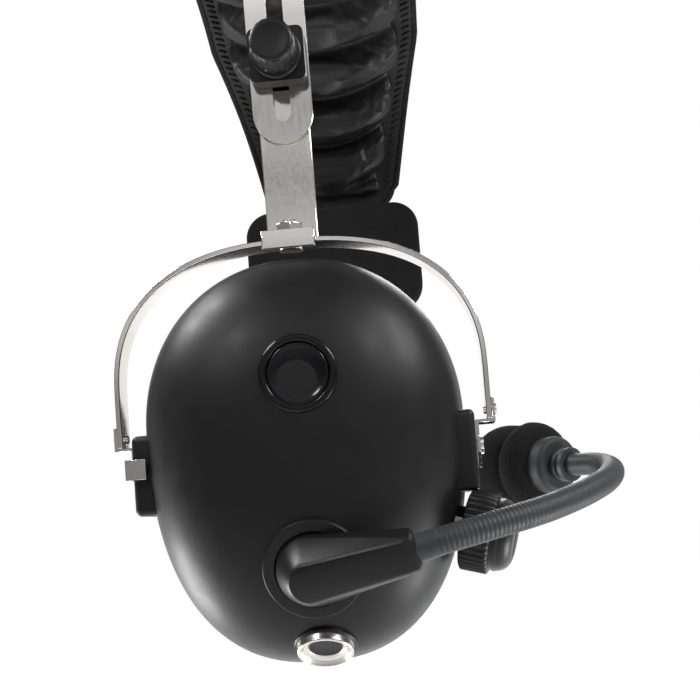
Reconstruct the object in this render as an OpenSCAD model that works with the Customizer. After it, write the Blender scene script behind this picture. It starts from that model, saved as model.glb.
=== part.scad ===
// Single-ear aviation headset: ear cup with boom microphone, temple pad and padded spring headband.
// Frame: +X is the wearer's forward, +Y runs from the ear cup to the temple pad, +Z is up.
// The origin is the middle of the head at ear height. Lengths are millimetres.

/* [Headband] */
// Width of the spring steel band
band_w = 16.5; // [14:0.5:20]
// Thickness of the spring steel band
band_t = 1.2; // [0.8:0.1:1.6]
// Distance from mid-head to the band at the clamp screws
band_half_span = 84; // [80:0.5:90]
// Height of the clamp screws above the ear
clamp_z = 110; // [104:1:116]
// Inward lean of the straight legs, in degrees
leg_lean = 4.5; // [2:0.5:7]
// Height at which the legs turn into the shoulder arcs
leg_top_z = 124; // [120:1:130]
// Height of the rounded leg ends
leg_end_z = 87.5; // [80:0.5:90]
// Radius of the shoulder arcs
shoulder_r = 58; // [50:1:66]
// Angle above level at which the shoulder arcs meet the crown arc
crown_from = 48; // [42:1:54]
// Width of the adjustment slots
slot_w = 4.6; // [4.4:0.1:6]
// Distance from a rounded leg end to the lower end of its slot
slot_margin = 6; // [5:0.5:9]
// Length of the adjustment slots
slot_len = 46; // [40:1:54]

/* [Head cushion] */
// Full width of the cushion with its border
cushion_w = 83; // [70:1:95]
// Width at the two ends
cushion_end_w = 54; // [44:1:62]
// Width of the flat stitched border
border_w = 6; // [4:0.5:9]
// Height of a filled channel above its backing
pillow_h = 11.5; // [8:0.5:15]
// Depth of the seams between the channels
seam_depth = 6; // [3:0.5:7]
// Number of filled channels
channels = 10; // [7:1:12]
// Thickness of the backing sheet
backing_t = 1.4; // [1:0.1:2]
// Length along the band from the crown to the cushion's end above the ear cup
cushion_cup_len = 117; // [100:1:120]
// Length along the band from the crown to the cushion's end above the temple pad
cushion_temple_len = 125; // [110:1:128]
// Length along the band from that end to the clamp screw above the temple pad
cushion_gap = 14.6; // [14:0.2:24]
// Width of the stretch that keeps the full width, along the band
cushion_full_len = 100; // [60:2:130]
// Thickness of the straps that hold the cushion to the band
keeper_t = 1.6; // [1.2:0.1:2.4]
// Length of a keeper strap along the band
keeper_len = 15; // [10:1:20]

/* [Sliding straps and clamps] */
// Width of the sliding straps
strap_w = 14; // [12:0.5:15.5]
// Thickness of the sliding straps
strap_t = 1.2; // [1:0.1:1.6]
// Height of the bend in the ear cup's strap
strap_bend_z = 77.5; // [70:0.5:80]
// Distance from the stirrup's bolt to the lower stretch of that strap
bolt_room = 6.9; // [5.4:0.1:9]
// Clamp block height along the band
clamp_block_h = 14.4; // [12:0.2:18]
// Clamp block thickness
clamp_block_t = 4.4; // [3.4:0.2:7]
// Clamp screw diameter
clamp_screw_d = 4; // [3:0.1:4.2]
// Clamp knob diameter over its ribs
clamp_knob_d = 12; // [10:0.5:15]
// Clamp knob height over its flange
clamp_knob_h = 9; // [7:0.5:12]
// Diameter of the knob's flange
knob_flange_d = 13.8; // [13.2:0.2:16]

/* [Stirrup] */
// Distance between the middles of the stirrup's two legs
stirrup_span = 97.4; // [95:0.2:102]
// Height of the stirrup's crown above the tilt pins, at mid-thickness
stirrup_top_z = 58; // [57.6:0.2:66]
// Height above the tilt pins at which the legs start to curve
stirrup_leg_z = 20; // [14:1:26]
// Width of the stirrup strip
stirrup_w = 7; // [5:0.5:8]
// Thickness of the stirrup strip
stirrup_t = 1.4; // [1:0.1:1.6]
// Diameter of the bolt that the stirrup turns on
bolt_d = 4; // [3:0.1:4.4]
// Nut width across its flats
nut_af = 7; // [6:0.5:8]
// Thickness of the sheet metal pivot clips
clip_t = 0.8; // [0.6:0.1:1]
// Tilt pin diameter
tilt_pin_d = 3; // [2:0.1:3.6]

/* [Ear cup] */
// Width of the ear cup
cup_w = 85; // [80:0.5:88]
// Height of the cup above its widest line
cup_top_h = 45; // [40:0.5:46]
// Height of the cup below its widest line
cup_bottom_h = 63; // [58:0.5:68]
// Height of the widest line above the tilt pins
cup_wide_z = 9; // [6:0.5:9.5]
// Depth of the cup from rim to crown
cup_depth = 36; // [32:0.5:42]
// Wall thickness of the cup
cup_wall = 2.6; // [2:0.1:3.2]
// Distance from mid-head to the cup's rim
rim_y = 78; // [74:0.5:80]
// Distance from mid-head to the tilt pins
tilt_y = 87; // [85:0.5:90]
// Height of the two pivot blocks
block_h = 21; // [18:0.5:26]
// How far the middle of the blocks lies below the tilt pins
block_drop = 1.5; // [0:0.5:4]
// Depth of the two pivot blocks
block_d = 14; // [12:0.5:15]
// How far the stirrup legs stand clear of the blocks
block_gap = 3.4; // [0.5:0.1:4.4]
// How far ahead of the cup's middle the switch, boom and socket lie
face_x = 2.5; // [0:0.5:4]
// Thickness of the ear seal
seal_t = 15.5; // [12:0.5:18]
// Width of the ear seal's ring
seal_w = 18; // [15:0.5:20]
// Thickness of the baffle plate
baffle_t = 2.4; // [2:0.1:3]
// Diameter of the earphone
driver_d = 40; // [36:1:42]

/* [Switch] */
// Height of the push-to-talk switch above the tilt pins
ptt_z = 18.5; // [14:0.5:20]
// Outer diameter of the switch bezel
ptt_bezel_d = 19; // [18:0.5:22]
// Diameter of the push button
ptt_button_d = 15.2; // [12:0.2:16]
// Travel of the push button
ptt_travel = 1.5; // [1:0.1:2]

/* [Volume control] */
// Height of the volume control, below the tilt pins when negative
volume_z = -21; // [-24:1:-19]
// Diameter of the volume knob
volume_knob_d = 21.4; // [18:0.2:22]
// Length of the volume knob
volume_knob_l = 13; // [10:0.5:16]

/* [Socket] */
// Bore of the plug socket
socket_d = 7.14; // [6.3:0.02:7.6]
// Depth of the plug socket's bore
socket_l = 18; // [15:0.5:20]
// Outer diameter of the socket's bezel nut
socket_bezel_d = 15.3; // [14:0.1:17]
// Outward tilt of the socket from straight down, in degrees
socket_tilt = 37; // [30:1:44]

/* [Boom] */
// Height of the boom's turret
boom_z = -28; // [-30:0.5:-26]
// Tilt of the turret's axis below level, in degrees
boom_tilt = 15; // [10:1:18]
// Diameter of the turret's base ring
boom_ring_d = 24.6; // [22:0.2:26]
// Diameter of the hub at the foot of the arm
boom_hub_d = 17.6; // [15:0.2:19]
// Length of the arm from the turret's axis
boom_arm_l = 26; // [22:0.5:32]
// Height of the arm's axis above the turret's seat
boom_arm_h = 11; // [9:0.5:14]
// Angle of the arm above level
boom_angle = 14; // [0:1:30]
// Diameter of the flexible boom over its ribs
gooseneck_d = 6.6; // [5:0.1:7]
// Pitch of the flexible boom's ribs
rib_pitch = 1.1; // [0.9:0.1:2]

/* [Microphone] */
// Diameter of the microphone housing
mic_d = 17; // [15:0.5:19]
// Length of the microphone housing
mic_l = 13; // [10:0.5:16]
// Diameter of the foam windscreen
windscreen_d = 26.8; // [25:0.2:32]
// Length of the foam windscreen
windscreen_l = 25; // [21:0.5:34]

/* [Temple pad] */
// Width of the temple pad
temple_w = 75; // [60:1:85]
// Height of the temple pad
temple_h = 46; // [36:1:50]
// Thickness of the temple pad
temple_t = 10; // [7:0.5:12]
// Corner radius of the temple pad
temple_r = 11; // [6:0.5:14]
// Height of the temple pad's hinge
temple_z = 97; // [94:0.5:98]
// Temple hinge pin diameter
hinge_pin_d = 2; // [1.6:0.1:2.4]

/* [Hidden] */
$fn = 48;

// Clearances
soft_gap = 0.3;
slide_gap = 0.12;
hole_gap = 0.1;
run_gap = 0.03;
body_gap = 0.35;
e = 0.01;

// Band path: straight legs, shoulder arcs and a crown arc, in the YZ plane, for the ear cup's side at +Y
leg_top_y = band_half_span + (leg_top_z - clamp_z) * tan(leg_lean);
shoulder_y = leg_top_y - shoulder_r * cos(leg_lean);
shoulder_z = leg_top_z + shoulder_r * sin(leg_lean);
crown_r = shoulder_r + shoulder_y / cos(crown_from);
crown_z = shoulder_z + (shoulder_r - crown_r) * sin(crown_from);
crown_len = crown_r * (90 - crown_from) * PI / 180;
shoulder_len = shoulder_r * (crown_from + leg_lean) * PI / 180;
arc_len = crown_len + shoulder_len;
leg_len = (leg_top_z - leg_end_z) / cos(leg_lean);
band_len = arc_len + leg_len;

// Direction, in degrees above level, in which the band faces outward at a length s from the crown
function facing(s) = s < crown_len ? 90 - s / crown_r * 180 / PI
    : s < arc_len ? crown_from - (s - crown_len) / shoulder_r * 180 / PI
    : -leg_lean;
// Point at a length s from the crown, moved outward by d
function on_arc(mid, r, a) = [mid[0] + r * cos(a), mid[1] + r * sin(a)];
function band_half(s, d) = s < crown_len ? on_arc([0, crown_z], crown_r + d, facing(s))
    : s < arc_len ? on_arc([shoulder_y, shoulder_z], shoulder_r + d, facing(s))
    : [leg_top_y + d * cos(leg_lean) - (s - arc_len) * sin(leg_lean),
       leg_top_z - d * sin(leg_lean) - (s - arc_len) * cos(leg_lean)];
// The same for both sides: s is negative towards the ear cup, which lies at -Y
function band_at(s, d) = s < 0 ? [-band_half(-s, d)[0], band_half(-s, d)[1]] : band_half(s, d);
function steps(a, b, n) = [for (i = [0 : n]) a + (b - a) * i / n];

// Superellipse outline with its own heights above and below the widest line
cup_square_top = 2.1;
cup_square_bottom = 2.4;
function signed_power(v, p) = sign(v) * pow(abs(v), p);
function egg(a, inset) = let (n = a < 180 ? cup_square_top : cup_square_bottom)
    [(cup_w / 2 - inset) * signed_power(cos(a), 2 / n),
     ((a < 180 ? cup_top_h : cup_bottom_h) - inset) * signed_power(sin(a), 2 / n)];
egg_sides = 48;
function egg_ring(inset) = [for (i = [0 : egg_sides - 1]) egg(i * 360 / egg_sides, inset)];

// Dome profile: share of the outline left at a share t of the depth
dome_square = 2.6;
function dome_share(t) = pow(1 - pow(t, dome_square), 1 / dome_square);
// Share of the outline at a point of the cup's face, and the distance of the dome there from mid-head
function face_share(x, z) = let (n = z > cup_wide_z ? cup_square_top : cup_square_bottom,
    h = z > cup_wide_z ? cup_top_h : cup_bottom_h)
    pow(pow(abs(x) * 2 / cup_w, n) + pow(abs(z - cup_wide_z) / h, n), 1 / n);
function dome_y(x, z) = rim_y + cup_depth * dome_share(face_share(x, z));
// Half width of the cup's outside at a height z and a distance y from mid-head
function side_x(y, z) = let (s = dome_share((y - rim_y) / cup_depth),
    n = z > cup_wide_z ? cup_square_top : cup_square_bottom,
    h = z > cup_wide_z ? cup_top_h : cup_bottom_h)
    s * cup_w / 2 * pow(1 - pow(abs(z - cup_wide_z) / (s * h), n), 1 / n);

// Places that several pieces share
block_x = (stirrup_span - stirrup_t) / 2 - block_gap;
baffle_y = rim_y + 0.2;
baffle_back_y = baffle_y + baffle_t;
block_front_y = baffle_back_y + body_gap + block_d;
stirrup_crown_z = stirrup_top_z + stirrup_t / 2;
flange_z = stirrup_crown_z + body_gap;
strap_out = -(band_t / 2 + slide_gap);
strap_mid = strap_out - strap_t / 2;
strap_inner = strap_out - strap_t;
slot_low_z = leg_end_z + slot_margin;
clamp_s = arc_len + (leg_top_z - clamp_z) / cos(leg_lean);
// How much further down its leg the temple pad's side sits than the ear cup's, to follow the cushion
temple_shift = cushion_temple_len + cushion_gap - clamp_s;
board_y = 100;
board_t = 1.6;
ptt_y = dome_y(face_x, ptt_z);
volume_y = rim_y + 12;
volume_x = side_x(volume_y, volume_z);
socket_z = -48.4;
socket_y = dome_y(face_x, socket_z);
boom_y = dome_y(face_x, boom_z);
board_top_y = board_y + board_t;

// Frames. Each puts local z along the piece's own axis, outward from the part
module on_leg(h = 0) {
    translate([0, -band_half_span, clamp_z])
        rotate([leg_lean, 0, 0])
            translate([0, 0, h])
                rotate([90, 0, 0])
                    children();
}
module temple_side() {
    translate(-temple_shift * [0, sin(leg_lean), cos(leg_lean)])
        children();
}
module far_side() {
    temple_side()
        mirror([0, 1, 0])
            children();
}
module face_frame(x, y, z) {
    translate([x, -y, z])
        rotate([90, 0, 0])
            children();
}
module boom_frame() {
    translate([face_x, -boom_y, boom_z])
        rotate([90 + boom_tilt, 0, 0])
            children();
}
module socket_frame() {
    translate([face_x, -socket_y, socket_z])
        rotate([180 - socket_tilt, 0, 0])
            children();
}
volume_down = 105;
volume_out = -12;
module volume_frame() {
    translate([volume_x, -volume_y, volume_z])
        rotate([0, volume_down, volume_out])
            children();
}

// Small shapes
module tube(d, bore, h, z = 0) {
    translate([0, 0, z])
        difference() {
            cylinder(d = d, h = h);
            translate([0, 0, -1])
                cylinder(d = bore, h = h + 2);
        }
}
module block(size, at) {
    translate([at[0] - size[0] / 2, at[1] - size[1] / 2, at[2] - size[2] / 2])
        cube(size);
}
module rounded_plate(w, h, r, t) {
    linear_extrude(t)
        union() {
            square([w - 2 * r, h], center = true);
            square([w, h - 2 * r], center = true);
            for (x = [-1, 1], y = [-1, 1])
                translate([x * (w / 2 - r), y * (h / 2 - r)])
                    circle(r);
        }
}
module slot_shape(w, l, t) {
    linear_extrude(t)
        union() {
            square([w, l - w], center = true);
            for (y = [-1, 1])
                translate([0, y * (l - w) / 2])
                    circle(d = w);
        }
}
module hex(af, h) {
    cylinder(d = af / cos(30), h = h, $fn = 6);
}

// Closed solid through rings of equally many points, each a list of 3D points
module skin(rings) {
    n = len(rings[0]);
    k = len(rings);
    points = [for (r = rings) each r];
    sides = [for (j = [0 : k - 2], i = [0 : n - 1]) each
        [[j * n + i, j * n + (i + 1) % n, (j + 1) * n + i],
         [j * n + (i + 1) % n, (j + 1) * n + (i + 1) % n, (j + 1) * n + i]]];
    first = [for (i = [1 : n - 2]) [0, i + 1, i]];
    last = [for (i = [1 : n - 2]) [(k - 1) * n, (k - 1) * n + i, (k - 1) * n + i + 1]];
    polyhedron(points = points, faces = concat(sides, first, last), convexity = 6);
}
// Closed ring-shaped solid: the rings follow one another and the last meets the first
module loop_skin(rings) {
    n = len(rings[0]);
    k = len(rings);
    points = [for (r = rings) each r];
    polyhedron(points = points, convexity = 6, faces = [for (j = [0 : k - 1], i = [0 : n - 1]) each
        [[j * n + i, j * n + (i + 1) % n, ((j + 1) % k) * n + i],
         [j * n + (i + 1) % n, ((j + 1) % k) * n + (i + 1) % n, ((j + 1) % k) * n + i]]]);
}

// ---- Headband ----
module band_strip(from, to, inner, outer, n) {
    side = [for (s = steps(from, to, n)) band_at(s, outer)];
    back = [for (s = steps(to, from, n)) band_at(s, inner)];
    rotate([90, 0, 90])
        linear_extrude(band_w, center = true)
            polygon(concat(side, back));
}
module leg_cut() {
    end_drop = (clamp_z - leg_end_z) / cos(leg_lean);
    slot_mid = slot_len / 2 - (clamp_z - slot_low_z) / cos(leg_lean);
    on_leg(slot_mid)
        translate([0, 0, -3])
            slot_shape(slot_w, slot_len, 6);
    on_leg(-end_drop)
        difference() {
            translate([-band_w, -1, -3])
                cube([2 * band_w, band_w / 2 + 1, 6]);
            translate([0, band_w / 2, -4])
                cylinder(d = band_w, h = 8);
        }
}
module headband_spring() {
    color("gainsboro")
        difference() {
            band_strip(-band_len, band_len + temple_shift, -band_t / 2, band_t / 2, 76);
            leg_cut();
            far_side()
                leg_cut();
        }
}

// Half width of the cushion at a length s from the crown
function taper(s, ends) = let (a = abs(s), full = cushion_full_len / 2)
    a < full ? cushion_w / 2
    : cushion_w / 2 - (cushion_w - cushion_end_w) / 2 * min(1, (a - full) / (ends - full));
function cushion_half_w(s) = taper(s, s < 0 ? cushion_cup_len : cushion_temple_len);
backing_top = -(band_t / 2 + soft_gap);
pillow_back = backing_top - backing_t - soft_gap;
backing_low = backing_top - backing_t;
backing_steps = 30;
// One cross-section: points across X at the given outward distances
function across(s, xs, ds) = [for (i = [0 : len(xs) - 1]) let (p = band_at(s, ds[i]))
    [xs[i], p[0], p[1]]];
module cushion_backing() {
    color("#17181a")
        skin([for (s = steps(-cushion_cup_len, cushion_temple_len, backing_steps)) let (w = cushion_half_w(s))
            across(s, [-w, w, w, -w], [backing_top, backing_top, backing_low, backing_low])]);
}
pillow_steps = 60;
pillow_from = -cushion_cup_len + border_w;
pillow_to = cushion_temple_len - border_w;
// Fullness of the filling: 1 in the middle of a channel and less on a seam and near the ends
function fullness(s) = let (u = (s - pillow_from) / (pillow_to - pillow_from) * channels)
    1 - seam_depth / pillow_h * pow(abs(cos(180 * u)), 3);
pillow_turn = [for (i = [0 : 8]) i * 22.5];
module head_cushion() {
    color("#1b1c1e")
        skin([for (s = steps(pillow_from, pillow_to, pillow_steps))
            let (w = cushion_half_w(s) - border_w, h = pillow_h * fullness(s))
            across(s, [for (a = pillow_turn) w * signed_power(-cos(a), 0.7)],
                [for (a = pillow_turn) pillow_back - h * pow(abs(sin(a)), 0.6)])]);
}
binding_w = 1.6;
module edge_binding() {
    low = backing_top - backing_t - 0.25;
    high = backing_top;
    color("#101112")
        for (side = [-1, 1])
            skin([for (s = steps(-cushion_cup_len, cushion_temple_len, backing_steps))
                let (w = cushion_half_w(s) + soft_gap)
                across(s, [side * w, side * (w + binding_w), side * (w + binding_w), side * w],
                    side > 0 ? [high, high, low, low] : [low, low, high, high])]);
}
module keeper_strap(s) {
    p = band_at(s, band_t / 2);
    translate([0, p[0], p[1]])
        rotate([facing(abs(s)) * (s < 0 ? -1 : 1) - 90 * (s < 0 ? -1 : 1), 0, 0])
            difference() {
                block([band_w + 10, keeper_len, band_t + soft_gap + keeper_t + 0.3],
                    [0, 0, (keeper_t - band_t + 0.3 - soft_gap) / 2 + e]);
                block([band_w + 0.8, keeper_len + 2, band_t + 1.4], [0, 0, -0.55]);
            }
}
module cushion_straps() {
    color("#141516")
        for (s = [-70, 0, 70])
            keeper_strap(s);
}

// ---- Ear cup slide ----
screw_hole_d = clamp_screw_d + 2 * hole_gap;
strap_top = 7;
// Sheet that follows the inside of a leg, from a length below the clamp screw to a length above it
module leg_sheet(low, high, w, t, mid) {
    on_leg()
        block([w, high - low, t], [0, (high + low) / 2, mid]);
}
// A point of a face of the leg's strap at a height z, a distance d outside the band's middle
function leg_face(z, d) = [(clamp_z - z) * tan(leg_lean) - band_half_span - d / cos(leg_lean), z];
strap_top_z = clamp_z + strap_top * cos(leg_lean);
plate_y = tilt_y - bolt_room;
foot_reach = tilt_y + stirrup_w / 2 + 1.5;
lip_drop = 3.6;
module cup_strap() {
    color("silver")
        difference() {
            rotate([90, 0, 90])
                linear_extrude(strap_w, center = true)
                    polygon([leg_face(strap_top_z, strap_out), leg_face(strap_bend_z, strap_out),
                        [-plate_y - strap_t / 2, flange_z + strap_t],
                        [-foot_reach - strap_t, flange_z + strap_t],
                        [-foot_reach - strap_t, flange_z - lip_drop],
                        [-foot_reach, flange_z - lip_drop], [-foot_reach, flange_z],
                        [-plate_y + strap_t / 2, flange_z],
                        leg_face(strap_bend_z, strap_inner), leg_face(strap_top_z, strap_inner)]);
            on_leg()
                translate([0, 0, -6])
                    cylinder(d = screw_hole_d, h = 12);
            translate([0, -tilt_y, flange_z - 1])
                cylinder(d = bolt_d + 2 * hole_gap, h = strap_t + 2);
        }
}
block_bed = band_t / 2 + slide_gap;
module clamp_block() {
    color("#1c1c1d")
        difference() {
            on_leg()
                translate([0, 0, block_bed])
                    rounded_plate(band_w - 1.2, clamp_block_h, 1.8, clamp_block_t);
            on_leg()
                translate([0, 0, -6])
                    cylinder(d = screw_hole_d, h = 24);
        }
}
knob_base = block_bed + clamp_block_t + body_gap;
screw_head_t = 1.6;
module clamp_screw() {
    color("silver")
        on_leg()
            union() {
                translate([0, 0, strap_inner - screw_head_t])
                    cylinder(d = 9, h = screw_head_t);
                translate([0, 0, strap_inner])
                    cylinder(d = clamp_screw_d, h = knob_base + clamp_knob_h - 2.5 - strap_inner);
            }
}
knob_ribs = 18;
module clamp_knob() {
    color("#161617")
        on_leg()
            translate([0, 0, knob_base])
                difference() {
                    union() {
                        cylinder(d = knob_flange_d, h = 1.2);
                        cylinder(d = clamp_knob_d - 0.8, h = clamp_knob_h - 0.6);
                        cylinder(d = clamp_knob_d - 2.4, h = clamp_knob_h);
                        for (i = [0 : knob_ribs - 1])
                            rotate([0, 0, i * 360 / knob_ribs])
                                block([0.9, 0.9, clamp_knob_h - 2.4],
                                [clamp_knob_d / 2 - 0.45, 0, clamp_knob_h / 2 - 0.1]);
                    }
                    translate([0, 0, -1])
                        cylinder(d = clamp_screw_d + 2 * run_gap, h = clamp_knob_h - 1);
                }
}
module cup_clamp_block() {
    clamp_block();
}
module cup_clamp_screw() {
    clamp_screw();
}
module cup_clamp_knob() {
    clamp_knob();
}
bolt_head_t = 0.9;
nut_t = 3.2;
module stirrup_bolt() {
    low = stirrup_top_z - stirrup_t / 2 - body_gap - bolt_head_t;
    color("silver")
        translate([0, -tilt_y, low])
            union() {
                cylinder(d = 6.2, h = bolt_head_t);
                cylinder(d = bolt_d, h = flange_z + strap_t + nut_t + 0.8 - low);
            }
}
module stirrup_nut() {
    color("silver")
        translate([0, -tilt_y, flange_z + strap_t])
            difference() {
                hex(nut_af, nut_t);
                translate([0, 0, -1])
                    cylinder(d = bolt_d, h = nut_t + 2);
            }
}

// ---- Stirrup ----
stirrup_square = 2.45;
strip_end_z = 6.4;
function bow(a, grow) = [(stirrup_span / 2 + grow) * signed_power(cos(a), 2 / stirrup_square),
    stirrup_leg_z + (stirrup_top_z - stirrup_leg_z + grow) * signed_power(sin(a), 2 / stirrup_square)];
bow_steps = 48;
module stirrup() {
    outer = [for (a = steps(0, 180, bow_steps)) bow(a, stirrup_t / 2)];
    inner = [for (a = steps(180, 0, bow_steps)) bow(a, -stirrup_t / 2)];
    half = stirrup_span / 2;
    rear = [[-half - stirrup_t / 2, strip_end_z], [-half + stirrup_t / 2, strip_end_z]];
    front = [[half - stirrup_t / 2, strip_end_z], [half + stirrup_t / 2, strip_end_z]];
    color("silver")
        difference() {
            translate([0, -tilt_y + stirrup_w / 2, 0])
                rotate([90, 0, 0])
                    linear_extrude(stirrup_w)
                        polygon(concat(outer, rear, inner, front));
            translate([0, -tilt_y, stirrup_top_z - 3])
                cylinder(d = bolt_d + 2 * run_gap, h = 6);
            clip_rivet_holes();
        }
}
rivet_d = 2.2;
rivet_z = 9;
module clip_rivet_holes() {
    translate([-stirrup_span, -tilt_y, rivet_z])
        rotate([0, 90, 0])
            cylinder(d = rivet_d, h = 2 * stirrup_span);
}
clip_inner_x = block_x + body_gap;
leaf_x = (stirrup_span + stirrup_t) / 2;
leaf_top_z = 12;
lug_h = 10;
tab_gap = 1.2;
tab_h = 5.2;
tab_l = 4.2;
module pivot_clip(tab) {
    color("silver")
        difference() {
            union() {
                translate([leaf_x, -tilt_y - stirrup_w / 2, strip_end_z - clip_t])
                    cube([clip_t, stirrup_w, leaf_top_z - strip_end_z + clip_t]);
                translate([clip_inner_x, -tilt_y - stirrup_w / 2, strip_end_z - clip_t])
                    cube([leaf_x + clip_t - clip_inner_x, stirrup_w, clip_t]);
                translate([clip_inner_x, -tilt_y - stirrup_w / 2, 0])
                    cube([clip_t, stirrup_w, strip_end_z - clip_t / 2]);
                translate([clip_inner_x, -tilt_y, 0])
                    rotate([90, 0, 90])
                        linear_extrude(clip_t)
                            polygon([[-lug_h / 2, 2], [lug_h / 2, 2], [lug_h / 2, -2], [2, -lug_h / 2 - 1],
                                [-2, -lug_h / 2 - 1], [-lug_h / 2, -2]]);
                if (tab) {
                    translate([clip_inner_x, -block_front_y - tab_gap - clip_t, -tab_h / 2])
                        cube([clip_t, block_front_y + tab_gap + clip_t - tilt_y, tab_h]);
                    translate([block_x - tab_l, -block_front_y - tab_gap - clip_t, -tab_h / 2])
                        cube([tab_l + body_gap + clip_t, clip_t, tab_h]);
                }
            }
            translate([0, -tilt_y, 0])
                rotate([0, 90, 0])
                    cylinder(d = tilt_pin_d, h = stirrup_span);
            clip_rivet_holes();
        }
}
module front_pivot_clip() {
    pivot_clip(false);
}
module rear_pivot_clip() {
    mirror([1, 0, 0])
        pivot_clip(true);
}
module on_both_sides() {
    for (m = [0, 1])
        mirror([m, 0, 0])
            children();
}
module clip_rivets() {
    color("gainsboro")
        on_both_sides()
            translate([leaf_x - stirrup_t - 0.6, -tilt_y, rivet_z])
                rotate([0, 90, 0])
                    union() {
                        cylinder(d = rivet_d, h = stirrup_t + clip_t + 0.6);
                        translate([0, 0, stirrup_t + clip_t + 0.6])
                            cylinder(d = rivet_d + 1.4, h = 0.6);
                    }
}
pin_depth = 5;
module pivot_pins() {
    color("gainsboro")
        on_both_sides()
            translate([block_x - pin_depth, -tilt_y, 0])
                rotate([0, 90, 0])
                    union() {
                        cylinder(d = tilt_pin_d, h = pin_depth + body_gap + clip_t);
                        translate([0, 0, pin_depth + body_gap + clip_t])
                            cylinder(d = tilt_pin_d + 2, h = 0.9);
                    }
}

// ---- Ear cup ----
dome_turns = [86, 80, 73, 65, 56, 46, 36, 26, 16, 7, 0];
function dome_ring(a, inset, depth) =
    let (s = pow(cos(a), 2 / dome_square))
    let (d = depth * pow(sin(a), 2 / dome_square))
    [for (p = egg_ring(inset)) [p[0] * s, -rim_y - d, cup_wide_z + p[1] * s]];
module dome(inset) {
    skin([for (a = dome_turns) dome_ring(a, inset, cup_depth - inset)]);
}
module cup_cavity() {
    skirt = [for (p = egg_ring(cup_wall)) [p[0], -rim_y + 1, cup_wide_z + p[1]]];
    skin(concat([for (a = dome_turns) dome_ring(a, cup_wall, cup_depth - cup_wall)], [skirt]));
}
// Length of a pivot block, rooted in the middle of the side wall
block_root = block_x - side_x(block_front_y, -block_h / 2 - block_drop) + cup_wall / 2;
boss_d = 6;
boss_l = 11;
boss_angles = [38, 142, 215, 295];
pilot_d = 2;
// Screw bosses stand against the inside of the side wall
boss_inset = cup_wall + boss_d / 2 + 0.6;
module at_bosses() {
    for (a = boss_angles)
        let (p = egg(a, boss_inset))
            face_frame(p[0], baffle_back_y, cup_wide_z + p[1])
                children();
}
// Room for a pivot clip, taken out of the wall wherever the wall would reach it
module clip_room() {
    front = block_front_y + tab_gap + clip_t + body_gap;
    translate([block_x + 0.1, -front, -lug_h / 2 - 1 - body_gap])
        cube([stirrup_span, front - tilt_y + lug_h / 2 + body_gap, strip_end_z + lug_h / 2 + 1 + 2 * body_gap]);
    translate([block_x - tab_l - body_gap, -front, -tab_h / 2 - body_gap])
        cube([tab_l + 1, front - block_front_y - 0.1, tab_h + 2 * body_gap]);
}
post_places = [[-11, 26], [15, 12]];
post_d = 5;
seat_d = boom_ring_d;
seat_l = 6;
boom_bore_d = 8;
ptt_tube_d = ptt_bezel_d - 2.4;
pot_bush_d = 7;
socket_seat_d = socket_bezel_d + 0.8;
socket_seat_l = 4;
jack_thread_d = 11;
module cup_shell() {
    color("#202123")
        difference() {
            union() {
                difference() {
                    dome(0);
                    cup_cavity();
                }
                on_both_sides()
                    translate([block_x - block_root, -block_front_y, -block_h / 2 - block_drop])
                        cube([block_root, block_d, block_h]);
                at_bosses()
                    cylinder(d = boss_d, h = boss_l);
                for (p = post_places)
                    face_frame(p[0], board_top_y, p[1])
                        cylinder(d = post_d, h = dome_y(p[0], p[1]) - cup_wall / 2 - board_top_y);
                boom_frame()
                    translate([0, 0, -seat_l])
                        cylinder(d = seat_d, h = seat_l);
                socket_frame()
                    translate([0, 0, -socket_seat_l])
                        cylinder(d = socket_seat_d, h = socket_seat_l);
            }
            on_both_sides()
                translate([block_x - pin_depth - 1, -tilt_y, 0])
                    rotate([0, 90, 0])
                        cylinder(d = tilt_pin_d + 2 * run_gap, h = pin_depth + 2);
            at_bosses()
                translate([0, 0, -1])
                    cylinder(d = pilot_d, h = boss_l);
            for (p = post_places)
                face_frame(p[0], board_top_y - 1, p[1])
                    cylinder(d = pilot_d, h = 6);
            on_both_sides()
                clip_room();
            boom_frame()
                translate([0, 0, -seat_l - 6])
                    cylinder(d = boom_bore_d + 2 * run_gap, h = seat_l + 12);
            socket_frame()
                translate([0, 0, -9])
                    cylinder(d = jack_thread_d + 2 * hole_gap, h = 12);
            face_frame(face_x, ptt_y - 8, ptt_z)
                cylinder(d = ptt_tube_d + 2 * hole_gap, h = 12);
            face_frame(face_x, ptt_y - 0.6, ptt_z)
                cylinder(d = ptt_bezel_d + 2 * hole_gap, h = 6);
            volume_frame()
                translate([0, 0, -8])
                    cylinder(d = pot_bush_d + 2 * hole_gap, h = 12);
            volume_frame()
                translate([0, 0, -0.4])
                    cylinder(d = 13, h = 4);
            volume_frame()
                translate([0, 0, -8])
                    cylinder(d = 13, h = 8 - pot_wall - 0.4);
            volume_frame()
                translate([0, 0, knob_lift - body_gap])
                    cylinder(d = volume_knob_d + 2 * body_gap, h = volume_knob_l);
        }
}
pot_wall = 1.6;
driver_hole_d = driver_d - 4;
flange_t = 2;
flange_d = driver_d + 4;
module egg_plate(inset, t, y) {
    translate([0, -y, cup_wide_z])
        rotate([90, 0, 0])
            linear_extrude(t)
                polygon(egg_ring(inset));
}
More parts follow.
